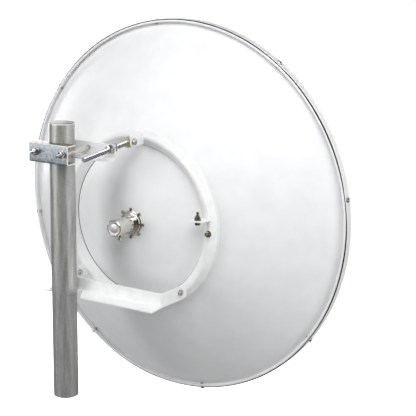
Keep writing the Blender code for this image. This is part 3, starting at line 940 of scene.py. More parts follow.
@dataclass
class PoleStub(Assembly):
    """Galvanised pipe with a welded lid, a seam line and a level lower end."""

    body: ClassVar[Body] = Body.POLE
    radius: float = 38.05
    wall: float = 3.6
    foot_z: float = -534.0
    top_z: float = 316.0
    lid: float = 5.0
    seam_z: float = -205.5
    gap: float = 0.3
    sides: int = 128

    def build(self) -> None:
        """Turn the tube, its lid and the disc in its foot."""
        radius, foot, seam = self.radius, self.foot_z, self.seam_z
        bore = radius - self.wall
        joint = self.top_z - self.lid - self.gap
        tube = [(radius - 0.8, foot), (radius, foot + 0.8), (radius, seam - 0.9),
                (radius - 1.6, seam - 0.7), (radius - 1.6, seam + 0.7), (radius, seam + 0.9),
                (radius, joint - 0.6), (radius - 0.6, joint), (bore, joint), (bore, foot + 0.8),
                (bore + 0.8, foot)]
        plug = bore - self.gap
        disc = [(0.0, foot), (plug - 0.6, foot), (plug, foot + 0.6), (plug, foot + 7.4),
                (plug - 0.6, foot + 8.0), (0.0, foot + 8.0)]
        self.dress(self.on_pole("galvanised_tube", tube, self.sides, closed=True),
                   Look.GALVANISED, "pole_pipe")
        self.dress(self.build_lid(joint), Look.GALVANISED, "pole_cap")
        self.dress(self.on_pole("tube_foot_disc", disc, 64), Look.GALVANISED, "pole_foot_plug")

    def build_lid(self, joint: float) -> Piece:
        """Turn the lid with its ground-off weld shoulder, roughened on the side that shows.

        Args:
            joint: Height of the pipe's own end.

        Returns:
            The lid.
        """
        radius, top = self.radius, self.top_z
        section: list[Point] = [(0.0, joint), (radius - 0.5, joint), (radius, joint + 0.5)]
        section += arc((radius - 2.6, top - 2.6), 2.6, 0.0, 90.0, 6)
        section += [(radius - 9.0, top - 0.5), (radius - 16.0, top), (0.0, top)]
        piece = self.on_pole("galvanised_lid", section, self.sides)
        middle = self.datum.at(*POLE, top)
        bpy.ops.object.mode_set(mode="EDIT")
        mesh = bmesh.from_edit_mesh(piece.data)
        for vertex in mesh.verts:
            ray = vertex.co - middle
            turn = math.degrees(math.atan2(ray.y, ray.x))
            edge = math.hypot(ray.x, ray.y) > (radius - 4.0) * MM and ray.z > -3.4 * MM
            vertex.select = edge and -78.0 < turn < -8.0
        mesh.select_flush_mode()
        bmesh.update_edit_mesh(piece.data)
        bpy.ops.transform.vertex_random(offset=0.00045, seed=5)
        bpy.ops.object.mode_set(mode="OBJECT")
        return piece


@dataclass(frozen=True)
class BoltLine:
    """Axis of a bolt or rod, between two points in millimetres from the dish's centre."""

    start: Vector
    end: Vector

    def way(self) -> Vector:
        """Give the direction from start to end."""
        return (self.end - self.start).normalized()

    def reach(self) -> float:
        """Give the distance from start to end."""
        return (self.end - self.start).length


# From the channel's front face to the upper bracket's; the right stud stands a little skewed.
STUD_LINES = {"left": BoltLine(Vector((-184.0, -476.0, 234.0)), Vector((-184.0, -373.5, 234.0))),
              "right": BoltLine(Vector((-82.0, -476.0, 235.0)), Vector((-70.5, -373.5, 243.0)))}

# From beside the eye's pin to the middle of the upper bracket's hole.
ROD_LINE = BoltLine(Vector((15.0, -287.0, 256.0)), Vector((15.0, -371.5, 247.6)))


@dataclass
class PoleClamp(Assembly):
    """Zinc-plated channel in front of the pipe, its two studs, and their nuts and washers."""

    body: ClassVar[Body] = Body.MOUNT
    low_x: float = -211.0
    high_x: float = -68.0
    low_z: float = 201.8
    high_z: float = 259.3
    front_y: float = -476.0
    back_y: float = -437.0
    sheet: float = 4.0
    bend: float = 3.6
    stud_front: float = 30.0
    stud_back: float = 18.0
    stud_radius: float = 5.0
    stud_pitch: float = 1.5
    shank_radius: float = 5.3
    nut_width: float = 19.0
    nut_height: float = 10.2
    washer_radius: float = 12.0
    washer_height: float = 1.8

    def build(self) -> None:
        """Fold the channel, then place studs, shanks, nuts and washers."""
        self.dress(self.build_channel(), Look.ZINC, "clamp_channel")
        nut = self.bench.nut(self.nut_width, self.nut_height, self.stud_radius - 0.4)
        washer = self.bench.washer(self.stud_radius + 0.8, self.washer_radius, self.washer_height)
        for side, line in STUD_LINES.items():
            way, far, thick = line.way(), line.reach() - 7.0, self.shank_radius
            thread = self.bench.thread(self.stud_radius, self.stud_pitch,
                                       line.reach() + self.stud_back + self.stud_front)
            self.dress(self.copy(thread, f"clamp_rod_{side}", line.start - way * self.stud_front,
                                 way), Look.ZINC_BRIGHT, f"clamp_stud_{side}")
            shank = [(0.0, 12.0), (thick - 0.4, 12.0), (thick, 12.4), (thick, far - 0.4),
                     (thick - 0.4, far), (0.0, far)]
            self.dress(self.bar(f"clamp_shank_{side}", line.start, way, shank, 32), Look.SHANK)
            lean = self.nut_width / math.sqrt(3.0) * math.sqrt(1.0 - way.y ** 2)
            turn = 12.0 if side == "left" else 38.0
            behind = line.end + way * (BRACKET_SHEET / way.y)
            for end, seat, sign in (("front", line.start, -1.0), ("back", behind, 1.0)):
                ring = self.copy(washer, f"clamp_washer_{end}_{side}", seat, (0, sign, 0))
                self.dress(ring, Look.ZINC_BRIGHT)
                hexagon = self.copy(nut, f"clamp_hexnut_{end}_{side}",
                                    seat + way * sign * (self.washer_height + lean),
                                    way * sign, turn)
                self.dress(hexagon, Look.STAINLESS, f"clamp_nut_{end}_{side}", slot=Slot.ZINC)

    def build_channel(self) -> Piece:
        """Fold a strip into the channel, then cut its stud holes and the seats for the pipe."""
        half = self.sheet / 2.0
        low, high, front = self.low_z + half, self.high_z - half, self.front_y + half
        path = rounded([(self.back_y, low), (front, low), (front, high), (self.back_y, high)],
                       [0.0, self.bend, self.bend, 0.0])
        channel = folded("clamp_c_section", [self.datum.at(self.low_x, y, z) for y, z in path],
                         (self.high_x - self.low_x, 0.0, 0.0), self.sheet)
        tools = [self.on_pole("seat", cylinder(POLE_ROOM, self.low_z - 9.0, self.high_z + 9.0))]
        tools += [self.bar("hole", line.start, line.way(), cylinder(6.2, -9.0, 13.0))
                  for line in STUD_LINES.values()]
        return soften(combine(channel, tools, "DIFFERENCE"), 0.7)


@dataclass
class UpperBracket(Assembly):
    """Folded plate behind the clamp, with a lip along its foot, and the bar behind it."""

    body: ClassVar[Body] = Body.MOUNT
    low_x: float = -208.0
    high_x: float = 26.8
    low_z: float = 214.8
    high_z: float = 260.5
    lip_y: float = -416.0
    bend: float = 5.0
    stud_hole: float = 7.4
    rod_hole: float = 10.0
    spine_x: Point = (-171.0, -139.0)
    spine_z: Point = (-204.5, 260.5)
    spine_depth: float = 15.0

    def build(self) -> None:
        """Fold and cut the bracket, and stand the spine behind the pipe."""
        self.dress(self.build_plate(), Look.STEEL_PAINT, "upper_bracket")
        y = BRACKET_Y + BRACKET_SHEET + 0.3
        (x0, x1), (z0, z1) = self.spine_x, self.spine_z
        outline = rounded([(x0, z0), (x1, z0), (x1, z1), (x0, z1)], [5.0] * 4, closed=True)
        spine = plate("spine_flat", [self.datum.at(x, y, z) for x, z in outline],
                      (0.0, self.spine_depth, 0.0), 1.2)
        self.dress(spine, Look.STEEL_PAINT, "spine_bar")

    def build_plate(self) -> Piece:
        """Fold the L section and drill it."""
        half = BRACKET_SHEET / 2.0
        low, middle = self.low_z + half, BRACKET_Y + half
        path = rounded([(self.lip_y, low), (middle, low), (middle, self.high_z)],
                       [0.0, self.bend, 0.0])
        strip = folded("upper_plate", [self.datum.at(self.low_x, y, z) for y, z in path],
                       (self.high_x - self.low_x, 0.0, 0.0), BRACKET_SHEET)
        tools = [self.on_pole("seat", cylinder(POLE_ROOM, self.low_z - 9.0, self.high_z + 9.0))]
        tools += [self.bar("hole", line.end, line.way(), cylinder(radius, -7.0, 7.0))
                  for line, radius in ((STUD_LINES["left"], self.stud_hole),
                                       (STUD_LINES["right"], self.stud_hole),
                                       (ROD_LINE, self.rod_hole))]
        return soften(combine(strip, tools, "DIFFERENCE"), 0.6)


@dataclass
class LowerBracket(Assembly):
    """Folded saddle: a web behind the pipe, two arms to the dish and a notched shelf."""

    body: ClassVar[Body] = Body.MOUNT
    arm_x: float = 191.0
    bend: float = 5.0
    low_z: float = -204.5
    high_z: float = -163.5
    arm_end_y: float = -247.5
    arm_corners: Point = (9.0, 2.0)
    shelf_y: float = -437.0
    shelf_tip_x: float = 202.0
    pivot_hole: float = 6.5

    def build(self) -> None:
        """Fold the band, join the shelf to it and cut the pivot holes and the pipe's notch."""
        sheet, low, at = BRACKET_SHEET, self.low_z, self.datum.at
        half = sheet / 2.0
        outer, web = self.arm_x + half, BRACKET_Y + half
        path = rounded([(-outer, self.arm_end_y), (-outer, web), (outer, web),
                        (outer, self.arm_end_y)], [0.0, self.bend, self.bend, 0.0])
        band = folded("lower_saddle", [at(x, y, low) for x, y in path],
                      (0.0, 0.0, self.high_z - low), sheet)
        tip, edge = self.shelf_tip_x, self.arm_x + sheet
        outline = rounded([(-tip, self.shelf_y), (tip, self.shelf_y), (edge, web), (-edge, web)],
                          [2.5, 2.5, 0.0, 0.0], closed=True)
        shelf = plate("shelf", [at(x, y, low) for x, y in outline], (0.0, 0.0, sheet))
        combine(band, [shelf], "UNION")
        combine(band, self.cutting_tools(), "DIFFERENCE")
        self.dress(soften(band, 0.7), Look.STEEL_PAINT, "lower_bracket")
        root, level = BRACKET_Y - 0.8, low + sheet + 0.4
        self.dress(weld_bead("saddle_weld", at(-190.0, root, level), at(190.0, root, level), 1.1),
                   Look.STEEL_PAINT)

    def cutting_tools(self) -> list[Piece]:
        """Make the cutters for the pipe's notch, the pivot holes and the arms' corners."""
        low = self.low_z - 6.0
        seat = self.on_pole("seat", cylinder(POLE_ROOM, low, self.low_z + 10.0))
        left, front, root = POLE[0] - POLE_ROOM, self.shelf_y - 5.0, BRACKET_Y - 6.0
        notch = [(left, POLE[1]), (left, front), (-56.0, front), (-95.0, root), (-110.0, root),
                 (-110.0, POLE[1])]
        mouth = plate("mouth", [self.datum.at(x, y, low) for x, y in notch], (0.0, 0.0, 16.0))
        pivot = self.bar("pivot", (0.0, *PIVOT), X, cylinder(self.pivot_hole, -230.0, 230.0))
        wedges = []
        for z, way, cut in ((self.low_z, 1.0, self.arm_corners[0]),
                            (self.high_z, -1.0, self.arm_corners[1])):
            end, past = self.arm_end_y, z - way * 3.0
            corners = [(end - cut, past), (end + 3.0, past), (end + 3.0, z + way * cut)]
            wedges.append(plate("wedge", [self.datum.at(-230.0, y, h) for y, h in corners],
                                (460.0, 0.0, 0.0)))
        return [seat, mouth, pivot, *wedges]


@dataclass
class DishShell(Assembly):
    """Spun reflector with its curled rim, the black seal, and the front cover with its skirt."""

    hole: float = 27.0
    skin: float = 2.0
    edge: float = 590.5
    rim: float = 598.5
    wall: float = 594.7
    curl: float = 3.5
    curl_y: float = -8.0
    sides: int = 288
    seal_inner: float = 598.7
    seal_outer: float = 601.2
    seal_y: float = -4.2
    seal_depth: float = 2.7
    seal_swell: float = 1.9
    cover_radius: float = 602.0
    lip_y: float = -1.3
    lip_pull: float = 2.2
    skirt_y: float = 29.5
    bulge: float = 10.5
    screw_count: int = 8
    screw_first: float = 9.0
    screw_one_off: float = 0.55
    screw_y: float = 6.0
    screw_width: float = 13.0
    nut_y: float = 4.2

    def build(self) -> None:
        """Build the shell, the seal, the cover and what fastens them."""
        self.dress(self.build_shell(), Look.DISH_PAINT, "reflector")
        self.dress(self.build_seal(), Look.RUBBER, "rim_seal")
        self.dress(self.build_cover(), Look.COVER, "radome")
        self.build_screws()

    def build_shell(self) -> Piece:
        """Spin the shell: the deep curve, the groove at its edge, the rim's wall and its curl."""
        steps, edge, wall = 44, self.edge, self.wall
        radii = [self.hole + (edge - self.hole) * k / steps for k in range(steps + 1)]
        profile: list[Point] = [(radius, dish_back(radius)) for radius in radii]
        foot, outer = dish_back(edge), wall + self.skin
        middle = (self.rim - self.curl, self.curl_y + self.curl)
        top = middle[1] + self.curl
        profile += [(edge + 1.3, foot + 0.75), (edge + 2.6, foot + 0.7), (wall - 0.5, foot - 0.2),
                    (wall, foot - 1.6), (wall, top + 0.8)]
        profile += arc(middle, self.curl, 125.0, 380.0, 17)
        profile += [(outer, top + 0.6), (outer, foot + 1.2), (edge + 3.0, foot + 2.9),
                    (edge + 0.4, foot + 2.6)]
        for radius in radii[::-1]:
            slope = 2.0 * radius / PARABOLA
            tilt = 1.0 / math.hypot(1.0, slope)
            share = (radius - self.hole) / edge
            profile.append((radius - self.skin * slope * tilt * share,
                            dish_back(radius) + self.skin * tilt))
        return self.spun("dish_shell", profile, self.sides, closed=True)

    def build_seal(self) -> Piece:
        """Turn the seal and let it swell between the screws, where nothing presses it."""
        inner, outer = self.seal_inner, self.seal_outer
        low, high = self.seal_y, self.seal_y + self.seal_depth
        section = [(inner, low + 0.6), (inner + 0.6, low), (outer - 0.8, low), (outer, low + 0.8),
                   (outer, high), (inner, high)]
        seal = self.spun("rim_gasket", section, self.sides, closed=True)
        self.press(seal, low + 1.0, lambda tight: (1.0 - tight) * self.seal_swell)
        return seal

    def press(self, piece: Piece, edge_y: float, push: Callable[[float], float]) -> None:
        """Push a turned piece's back edge backwards, by an amount that the screws set.

        Args:
            piece: The piece to change.
            edge_y: Only what lies behind this is pushed, in millimetres.
            push: Gives the push in millimetres from 1, at a screw, to 0, half way to the next.
        """
        for vertex in piece.data.vertices:
            place = vertex.co - self.datum.origin
            if place.y < edge_y * MM:
                turn = math.atan2(place.z, place.x) - math.radians(self.screw_first)
                tight = 0.5 + 0.5 * math.cos(turn * self.screw_count)
                vertex.co.y -= push(tight) * MM

    def build_cover(self) -> Piece:
        """Turn the cover: the skirt with a small step, its rounded corner and the domed front."""
        outer, lip, front = self.cover_radius, self.lip_y, self.skirt_y
        flat, skin = outer - 8.0, 2.5
        section = arc((outer - 1.0, lip + 1.0), 1.0, -90.0, 0.0, 4)
        section += [(outer, 12.0), (outer - 0.4, 12.7), (outer - 0.8, 13.0),
                    (outer - 0.8, front - 3.6)]
        section += arc((outer - 3.8, front - 3.4), 3.0, 0.0, 80.0, 6)
        dome = [(flat * k / 12.0, self.bulge * (1.0 - (k / 12.0) ** 2)) for k in range(13)]
        section += [(radius, front + rise) for radius, rise in dome[::-1]]
        section += [(radius * 0.99, front + rise - skin) for radius, rise in dome]
        section += [(outer - 2.5, front - 7.0), (outer - 2.5, lip + 0.6), (outer - 1.9, lip)]
        cover = self.spun("front_cover", section, self.sides, closed=True)
        # The screws pull the skirt back over the seal, which shows only between them.
        self.press(cover, 0.0, lambda tight: tight ** 4 * self.lip_pull)
        return cover

    def build_screws(self) -> None:
        """Place the radial screws: heads on the skirt, nuts and bolt ends inside the rim's wall."""
        head = self.bench.head(self.screw_width, 4.1, recess=3.2)
        washer = self.bench.washer(2.0, self.screw_width * 0.62, 1.4)
        nut = self.bench.nut(10.0, 5.0, 3.0)
        end = self.bench.thread(3.4, 1.2, 8.0)
        seat = self.cover_radius + 0.1
        for k in range(self.screw_count):
            degrees = self.screw_first + 360.0 / self.screw_count * k
            turn = math.radians(degrees + (self.screw_one_off if k == 0 else 0.0))
            ray = Vector((math.cos(turn), 0.0, math.sin(turn)))
            level = ray.to_track_quat("Z", "Y").inverted() @ Vector((0.0, -1.0, 0.0))
            # One flat of each head faces the back of the dish.
            spin = math.degrees(math.atan2(level.y, level.x))
            line = Vector((0.0, self.screw_y, 0.0))
            inward = Vector((0.0, self.nut_y, 0.0)) + ray * (self.wall - 0.3)
            for name, pattern, spot, way, angle in (
                    ("fixing", head, line + ray * (seat + 1.4), ray, spin),
                    ("washer", washer, line + ray * seat, ray, 0.0),
                    ("nut", nut, inward, -ray, 20.0 * k),
                    ("end", end, inward - ray * 7.4, ray, 0.0)):
                piece = self.copy(pattern, f"rim_{name}_{k + 1}", spot, way, angle)
                nodes = [f"rim_screw_{k + 1}"] if name == "fixing" else []
                self.dress(piece, Look.STAINLESS, *nodes)


@dataclass
class BackingRing(Assembly):
    """Pressed ring behind the dish, with its tab, its pivot ears and its bolts."""

    lip: float = 238.0
    toe: float = 280.5
    ridge_in: float = 262.0
    ridge_out: float = 269.0
    top_y: float = -238.0
    sheet: float = 3.2
    seat: float = 0.6
    sides: int = 240
    tab_x: float = 25.5
    tab_sheet: float = 5.5
    ear_x: float = 186.0
    ear_sheet: float = 4.5
    arm_outer_x: float = 195.0
    side_z: float = 41.0
    side_bolt: Point = (247.0, -268.0)
    ring_bolt: Point = (266.0, 0.0)
    weld: float = 1.8

    def back(self, radius: float) -> float:
        """Give the reflector's back surface at a radius, less the ring's seat."""
        return dish_back(radius) - self.seat

    def build(self) -> None:
        """Build the ring and everything welded or bolted to it."""
        self.dress(self.build_ring(), Look.STEEL_PAINT, "mounting_ring")
        # A grey-brown bead round the ring's inner foot: painted shade for the gap between ring and
        # dish.
        foot, inner = self.lip, dish_back(self.lip)
        bead = [(foot - 1.6, inner - 0.2), (foot - 1.4, inner - 1.3), (foot - 0.2, inner - 1.7),
                (foot + 1.0, inner - 0.2)]
        self.dress(self.spun("ring_foot_shade_bead", bead, self.sides, closed=True), Look.SEALANT)
        self.build_tab()
        for side, sign in (("left", -1.0), ("right", 1.0)):
            self.build_pivot(side, sign)
        self.build_side_ear()

    def build_ring(self) -> Piece:
        """Spin the pressed section with its bends."""
        t, top, lip, toe, back = self.sheet, self.top_y, self.lip, self.toe, self.back
        corners = [(lip, back(lip)), (lip, back(lip) - t), (self.ridge_in - 1.0, top),
                   (self.ridge_out + 1.0, top), (toe - 3.2, back(toe) - 6.0),
                   (toe, back(toe) - 4.4), (toe, back(toe)), (toe - 4.0, back(toe - 4.0)),
                   (toe - 6.0, back(toe) - 7.0), (self.ridge_out - 1.6, top + t + 0.4),
                   (self.ridge_in + 0.6, top + t + 0.4), (lip + 4.4, back(lip + 4.4))]
        radii = [0.9, 1.2, 5.0, 4.5, 1.6, 1.4, 0.9, 0.6, 1.5, 1.5, 2.0, 0.6]
        return self.spun("backing_ring", rounded(corners, radii, closed=True, steps=5),
                         self.sides, closed=True)

    def bead(self, name: str, x: float, low: float, high: float) -> None:
        """Weld along the ring's top at an x, from one height to another."""
        y = self.top_y - 0.4
        self.dress(weld_bead(name, self.datum.at(x, y, low), self.datum.at(x, y, high), self.weld),
                   Look.STEEL_PAINT)

    def build_tab(self) -> None:
        """Weld the tab to the ring's top and put the pin through it."""
        near, face = self.tab_x, self.top_y + 2.0
        outer = near + self.tab_sheet
        corners = [(face, 243.5), (-295.0, 243.0), (-299.0, 247.0), (-299.0, 275.0),
                   (-295.0, 279.0), (face, 280.0)]
        outline = rounded(corners, [0.0, 4.0, 4.0, 6.0, 6.0, 0.0], closed=True)
        tab = plate("eye_tab", [self.datum.at(near, y, z) for y, z in outline],
                    (self.tab_sheet, 0.0, 0.0), 0.6)
        self.dress(tab, Look.STEEL_PAINT, "ring_tab")
        for number, x in enumerate((near, outer), 1):
            self.bead(f"tab_weld_{number}", x, 245.0, 268.0)
        left, right = EYE_X
        shank = self.bar("eye_pin", (0.0, *EYE_PIN), X,
                         [(0.0, left - 3.5), (5.2, left - 3.5), (6.0, left - 2.8),
                          (8.0, left - 2.3), (8.0, left - 0.3), (6.0, left - 0.3),
                          (6.0, right + 0.3), (9.0, right + 0.3), (9.0, near - 0.3),
                          (6.0, near - 0.3), (6.0, outer + 0.5), (0.0, outer + 0.5)], 32)
        head = self.copy(self.bench.head(19.0, 6.6), "pin_head", (outer + 0.3, *EYE_PIN), X, 8.0)
        self.dress(combine(shank, [head], "UNION"), Look.STAINLESS, "eye_bolt")

    def build_pivot(self, side: str, sign: float) -> None:
        """Weld one ear behind the ring, inside its arm, and put the pivot bolt through both.

        Args:
            side: left or right.
            sign: -1 for left, +1 for right.
        """
        face = self.top_y + 1.5
        corners = [(face, -198.0), (-294.0, -202.0), (-300.0, -192.0), (-300.0, -168.0),
                   (-294.0, -165.5), (-253.0, -165.5), (-252.0, -172.0), (face, -184.0)]
        outline = rounded(corners, [0.0, 6.0, 5.0, 2.0, 4.0, 3.5, 4.0, 0.0], closed=True)
        low = self.ear_x if sign > 0.0 else -self.ear_x - self.ear_sheet
        ear = plate(f"pivot_ear_{side}", [self.datum.at(low, y, z) for y, z in outline],
                    (self.ear_sheet, 0.0, 0.0), 0.6)
        self.dress(ear, Look.STEEL_PAINT, f"pivot_lug_{side}")
        self.bead(f"ear_weld_{side}", sign * self.ear_x, -196.0, -184.0)
        out, outer, end = (sign, 0.0, 0.0), self.arm_outer_x, self.ear_x - 10.5
        shank = self.bar(f"pivot_pin_{side}", (0.0, *PIVOT), out,
                         [(0.0, end), (5.0, end), (6.0, end + 1.0), (6.0, outer + 0.6),
                          (0.0, outer + 0.6)], 32)
        parts = [self.copy(self.bench.head(17.0, 6.4), "pin_head",
                           (sign * (outer + 1.9), *PIVOT), out, 5.0 if sign > 0.0 else 25.0),
                 self.copy(self.bench.washer(5.5, 9.6, 1.7), "pin_washer",
                           (sign * (outer + 0.3), *PIVOT), out),
                 self.copy(self.bench.nut(18.0, 8.0, 5.6), "pin_nut",
                           (sign * (self.ear_x - 0.3), *PIVOT), (-sign, 0, 0))]
        self.dress(combine(shank, parts, "UNION"), Look.STAINLESS, f"pivot_bolt_{side}")

    def build_side_ear(self) -> None:
        """Weld the level ear to the ring's right side, with its upright bolt and the screw."""
        z, bench, face = self.side_z, self.bench, self.top_y + 3.0
        corners = [(252.0, face), (226.0, -256.0), (226.0, -285.0), (276.0, -285.0),
                   (276.0, face)]
        outline = rounded(corners, [8.0, 9.0, 15.0, 27.0, 0.0], closed=True)
        ear = plate("side_ear", [self.datum.at(x, y, z) for x, y in outline],
                    (0.0, 0.0, 4.0), 0.7)
        self.dress(ear, Look.STEEL_PAINT, "side_lug")
        bolt = self.copy(bench.thread(4.2, 1.25, 31.0), "side_stud", (*self.side_bolt, z - 3.0), Z)
        parts = [self.copy(pattern, name, (*self.side_bolt, z + rise), (0, 0, way), turn)
                 for pattern, name, rise, way, turn in (
                     (bench.nut(15.5, 7.4, 3.6), "stud_nut", 6.0, 1, 14.0),
                     (bench.washer(3.6, 10.5, 1.8), "stud_washer", 4.2, 1, 0.0),
                     (bench.nut(12.0, 4.4, 3.6), "stud_locknut", 13.2, 1, 30.0),
                     (bench.washer(3.6, 9.6, 1.8), "stud_collar", -0.3, -1, 0.0),
                     (bench.head(15.5, 8.6), "stud_head", -2.0, -1, 20.0))]
        self.dress(combine(bolt, parts, "UNION"), Look.DARK_SCREW, "side_lug_bolt")
        x, z = self.ring_bolt
        head = self.copy(bench.head(16.0, 6.2, recess=4.4), "ring_cap_screw",
                         (x, self.top_y - 2.0, z), (0, -1, 0), 10.0)
        washer = self.copy(bench.washer(4.4, 10.5, 2.0), "ring_washer",
                           (x, self.top_y - 0.2, z), (0, -1, 0))
        self.dress(combine(head, [washer], "UNION"), Look.DARK_SCREW, "ring_bolt")


@dataclass
class ElevationRod(Assembly):
    """Threaded rod with its eye, and the nuts that hold it in the upper bracket."""

    body: ClassVar[Body] = Body.ROD
    pin_radius: float = 6.2
    free_y: float = -505.0
    radius: float = 8.0
    pitch: float = 2.0
    block_y: Point = (-299.0, -275.0)
    block_z: Point = (240.0, 268.0)
    nut_width: float = 23.4
    nut_height: float = 12.6
    thin_nut_height: float = 7.5
    washer_radius: float = 13.5
    washer_height: float = 3.0

    def build(self) -> None:
        """Build the rod, its eye block and its two nuts."""
        way = ROD_LINE.way()
        face = (self.block_y[0] - ROD_LINE.start.y) / way.y
        length = (self.free_y - ROD_LINE.start.y) / way.y - face + 1.0
        rod = self.copy(self.bench.thread(self.radius, self.pitch, length), "elevation_rod",
                        ROD_LINE.start + way * (face - 1.0), way)
        self.dress(rod, Look.ZINC_BRIGHT, "tilt_rod")
        self.dress(self.build_eye(way, face), Look.YELLOW, "rod_eye")
        thick = self.washer_height
        washer = self.bench.washer(self.radius + 0.8, self.washer_radius, thick)
        near = 2.3 + self.washer_radius * abs(way.z)
        for end, out, turn, height in (("front", way, 0.0, self.nut_height),
                                       ("back", -way, 16.0, self.thin_nut_height)):
            ring = self.copy(washer, f"rod_washer_{end}", ROD_LINE.end + out * near, out)
            self.dress(ring, Look.ZINC_BRIGHT, body=Body.MOUNT)
            hexagon = self.copy(self.bench.nut(self.nut_width, height, self.radius - 0.6),
                                f"rod_hexnut_{end}", ROD_LINE.end + out * (near + thick), out,
                                turn)
            self.dress(hexagon, Look.STAINLESS, f"tilt_nut_{end}", slot=Slot.ZINC,
                       body=Body.MOUNT)

    def build_eye(self, way: Vector, face: float) -> Piece:
        """Forge the eye: a rounded block with a short neck round the rod, and a grease nipple.

        Args:
            way: The rod's direction.
            face: Where the rod's line leaves the block, in millimetres from its start.

        Returns:
            The eye.
        """
        (x0, x1), (y0, y1), (z0, z1) = EYE_X, self.block_y, self.block_z
        outline = rounded([(y0, z0), (y1, z0), (y1, z1), (y0, z1)], [2.0, 5.0, 5.0, 2.0],
                          closed=True)
        block = plate("rod_end", [self.datum.at(x0, y, z) for y, z in outline],
                      (x1 - x0, 0.0, 0.0), 1.2)
        neck = self.bar("neck", ROD_LINE.start, way,
                        [(0.0, face - 6.0), (9.4, face - 6.0), (9.4, face + 1.6),
                         (8.6, face + 2.6), (0.0, face + 2.6)])
        nipple = self.bar("nipple", (x0 + 3.4, y0 + 10.0, z1), Z,
                          [(0.0, -2.0), (3.0, -2.0), (3.0, 1.0), (1.8, 1.6), (1.8, 2.6),
                           (2.4, 3.4), (1.6, 4.6), (0.0, 4.8)], 20)
        combine(block, [neck, nipple], "UNION")
        bore = self.bar("bore", (0.0, *EYE_PIN), X, cylinder(self.pin_radius, x0 - 4.0, x1 + 4.0))
        return combine(block, [bore], "DIFFERENCE")


@dataclass
class FeedUnit(Assembly):
    """Feed behind the reflector: turned housing, collar, radial screws and coaxial socket."""

    radius: float = 25.4
    end_y: float = -347.0
    front_y: float = -268.5
    collar: float = 36.0
    flange: float = 38.6
    flange_front_y: float = -258.2
    sides: int = 112
    screws: int = 8
    screw_y: float = -261.2
    socket_y: float = -315.0
    face_lip: float = 2.6
    face_depth: float = 1.2
    key_turn: float = -68.0
    key_reach: Point = (-324.0, -289.0)

    def build(self) -> None:
        """Build the housing, the key, the collar, the screws and the socket."""
        self.build_housing()
        self.build_key()
        self.build_collar()
        self.build_screws()
        self.build_socket()

    def build_housing(self) -> None:
        """Turn the housing, its end face set back inside a machined lip and left bare."""
        radius, lip, end = self.radius, self.face_lip, self.end_y
        seat, deep = self.front_y - 0.3, end + self.face_depth
        profile: list[Point] = [(0.0, seat), (radius - 1.0, seat), (radius - 1.0, seat - 2.5),
                                (radius, seat - 3.3), (radius, end + 1.2), (radius - 1.2, end),
                                (radius - lip, end), (radius - lip - 0.4, deep), (0.0, deep)]
        self.dress(self.spun("feed_tube", profile, self.sides), Look.TURNED, "feed_housing")
        face = [(0.0, deep - 0.05), (0.0, deep - 0.55), (14.0, deep - 0.55), (14.4, deep - 0.4),
                (15.2, deep - 0.4), (15.6, deep - 0.55), (radius - lip - 1.4, deep - 0.55),
                (radius - lip - 1.0, deep - 0.05)]
        self.dress(self.spun("feed_end_face", face, 96), Look.BLASTED)

    def build_key(self) -> None:
        """Let the key into the housing's underside."""
        turn = math.radians(self.key_turn)
        out = Vector((math.cos(turn), 0.0, math.sin(turn)))
        across = Vector((-out.z, 0.0, out.x))
        near, far = self.key_reach
        outline = rounded([(-2.0, near), (2.0, near), (2.0, far), (-2.0, far)], [1.2] * 4,
                          closed=True)
        key = plate("feed_key", [self.datum.at(*(out * (self.radius - 1.5) + across * a
                                                 + Vector((0.0, y, 0.0)))) for a, y in outline],
                    out * 4.3, 0.4)
        self.dress(key, Look.GILT)

    def build_collar(self) -> None:
        """Turn the collar with its waist and the screwed flange against the reflector."""
        y0, y1 = self.front_y, self.flange_front_y - 1.2
        edge, rim = self.collar, self.flange
        profile: list[Point] = [(0.0, y0), (edge - 5.0, y0), (edge - 4.6, y0 + 0.5)]
        profile += arc((edge - 2.2, y0 + 2.8), 2.2, -90.0, 0.0, 5)
        profile += [(edge, y0 + 5.6), (edge - 0.8, y0 + 6.2), (edge - 2.8, y0 + 6.5),
                    (edge - 2.8, y0 + 7.8), (rim - 1.0, y0 + 8.2), (rim, y0 + 9.0),
                    (rim, y1 - 0.6), (rim - 0.6, y1), (0.0, y1)]
        self.dress(self.spun("feed_collar", profile, self.sides), Look.TURNED, "feed_flange")

    def build_screws(self) -> None:
        """Model one radial screw with its socket and copy it round the flange."""
        profile: list[Point] = [(0.0, -0.4), (2.9, -0.4), (2.9, 3.0), (4.0, 3.0), (4.2, 3.4),
                                (4.2, 7.4), (3.7, 8.2), (2.1, 8.2), (1.9, 6.2), (0.0, 6.0)]
        screw = self.bench.keep("screw", lambda key: turned(key, Vector(), Z, profile, 28))
        for k in range(self.screws):
            turn = FULL_TURN / self.screws * k
            ray = Vector((math.cos(turn), 0.0, math.sin(turn)))
            foot = ray * self.flange + Vector((0.0, self.screw_y, 0.0))
            self.dress(self.copy(screw, f"feed_cap_screw_{k + 1}", foot, ray), Look.DARK_SCREW,
                       f"feed_screw_{k + 1}")

    def build_socket(self) -> None:
        """Turn the coaxial socket: a flange, a threaded barrel, the hollow mouth and its pin."""
        top = -self.radius - 0.3
        ridges = [point for k in range(9) for point in ((7.5, -4.4 - k * 1.3),
                                                        (8.0, -5.05 - k * 1.3))]
        profile = [(0.0, 1.6), (7.4, 1.6), (9.3, -0.2), (9.5, -0.6), (9.5, -2.8), (9.1, -3.2),
                   (7.2, -3.4), *ridges, (7.3, -16.8), (6.8, -17.3), (5.6, -17.3), (5.3, -16.9),
                   (5.3, -9.0), (1.4, -9.0), (1.4, -15.0), (0.8, -15.8), (0.0, -15.8)]
        socket = self.bar("coax_socket", (0.0, self.socket_y, 0.0), Z,
                          [(radius, top + level) for radius, level in profile], 48)
        self.dress(socket, Look.NICKEL, "n_connector")


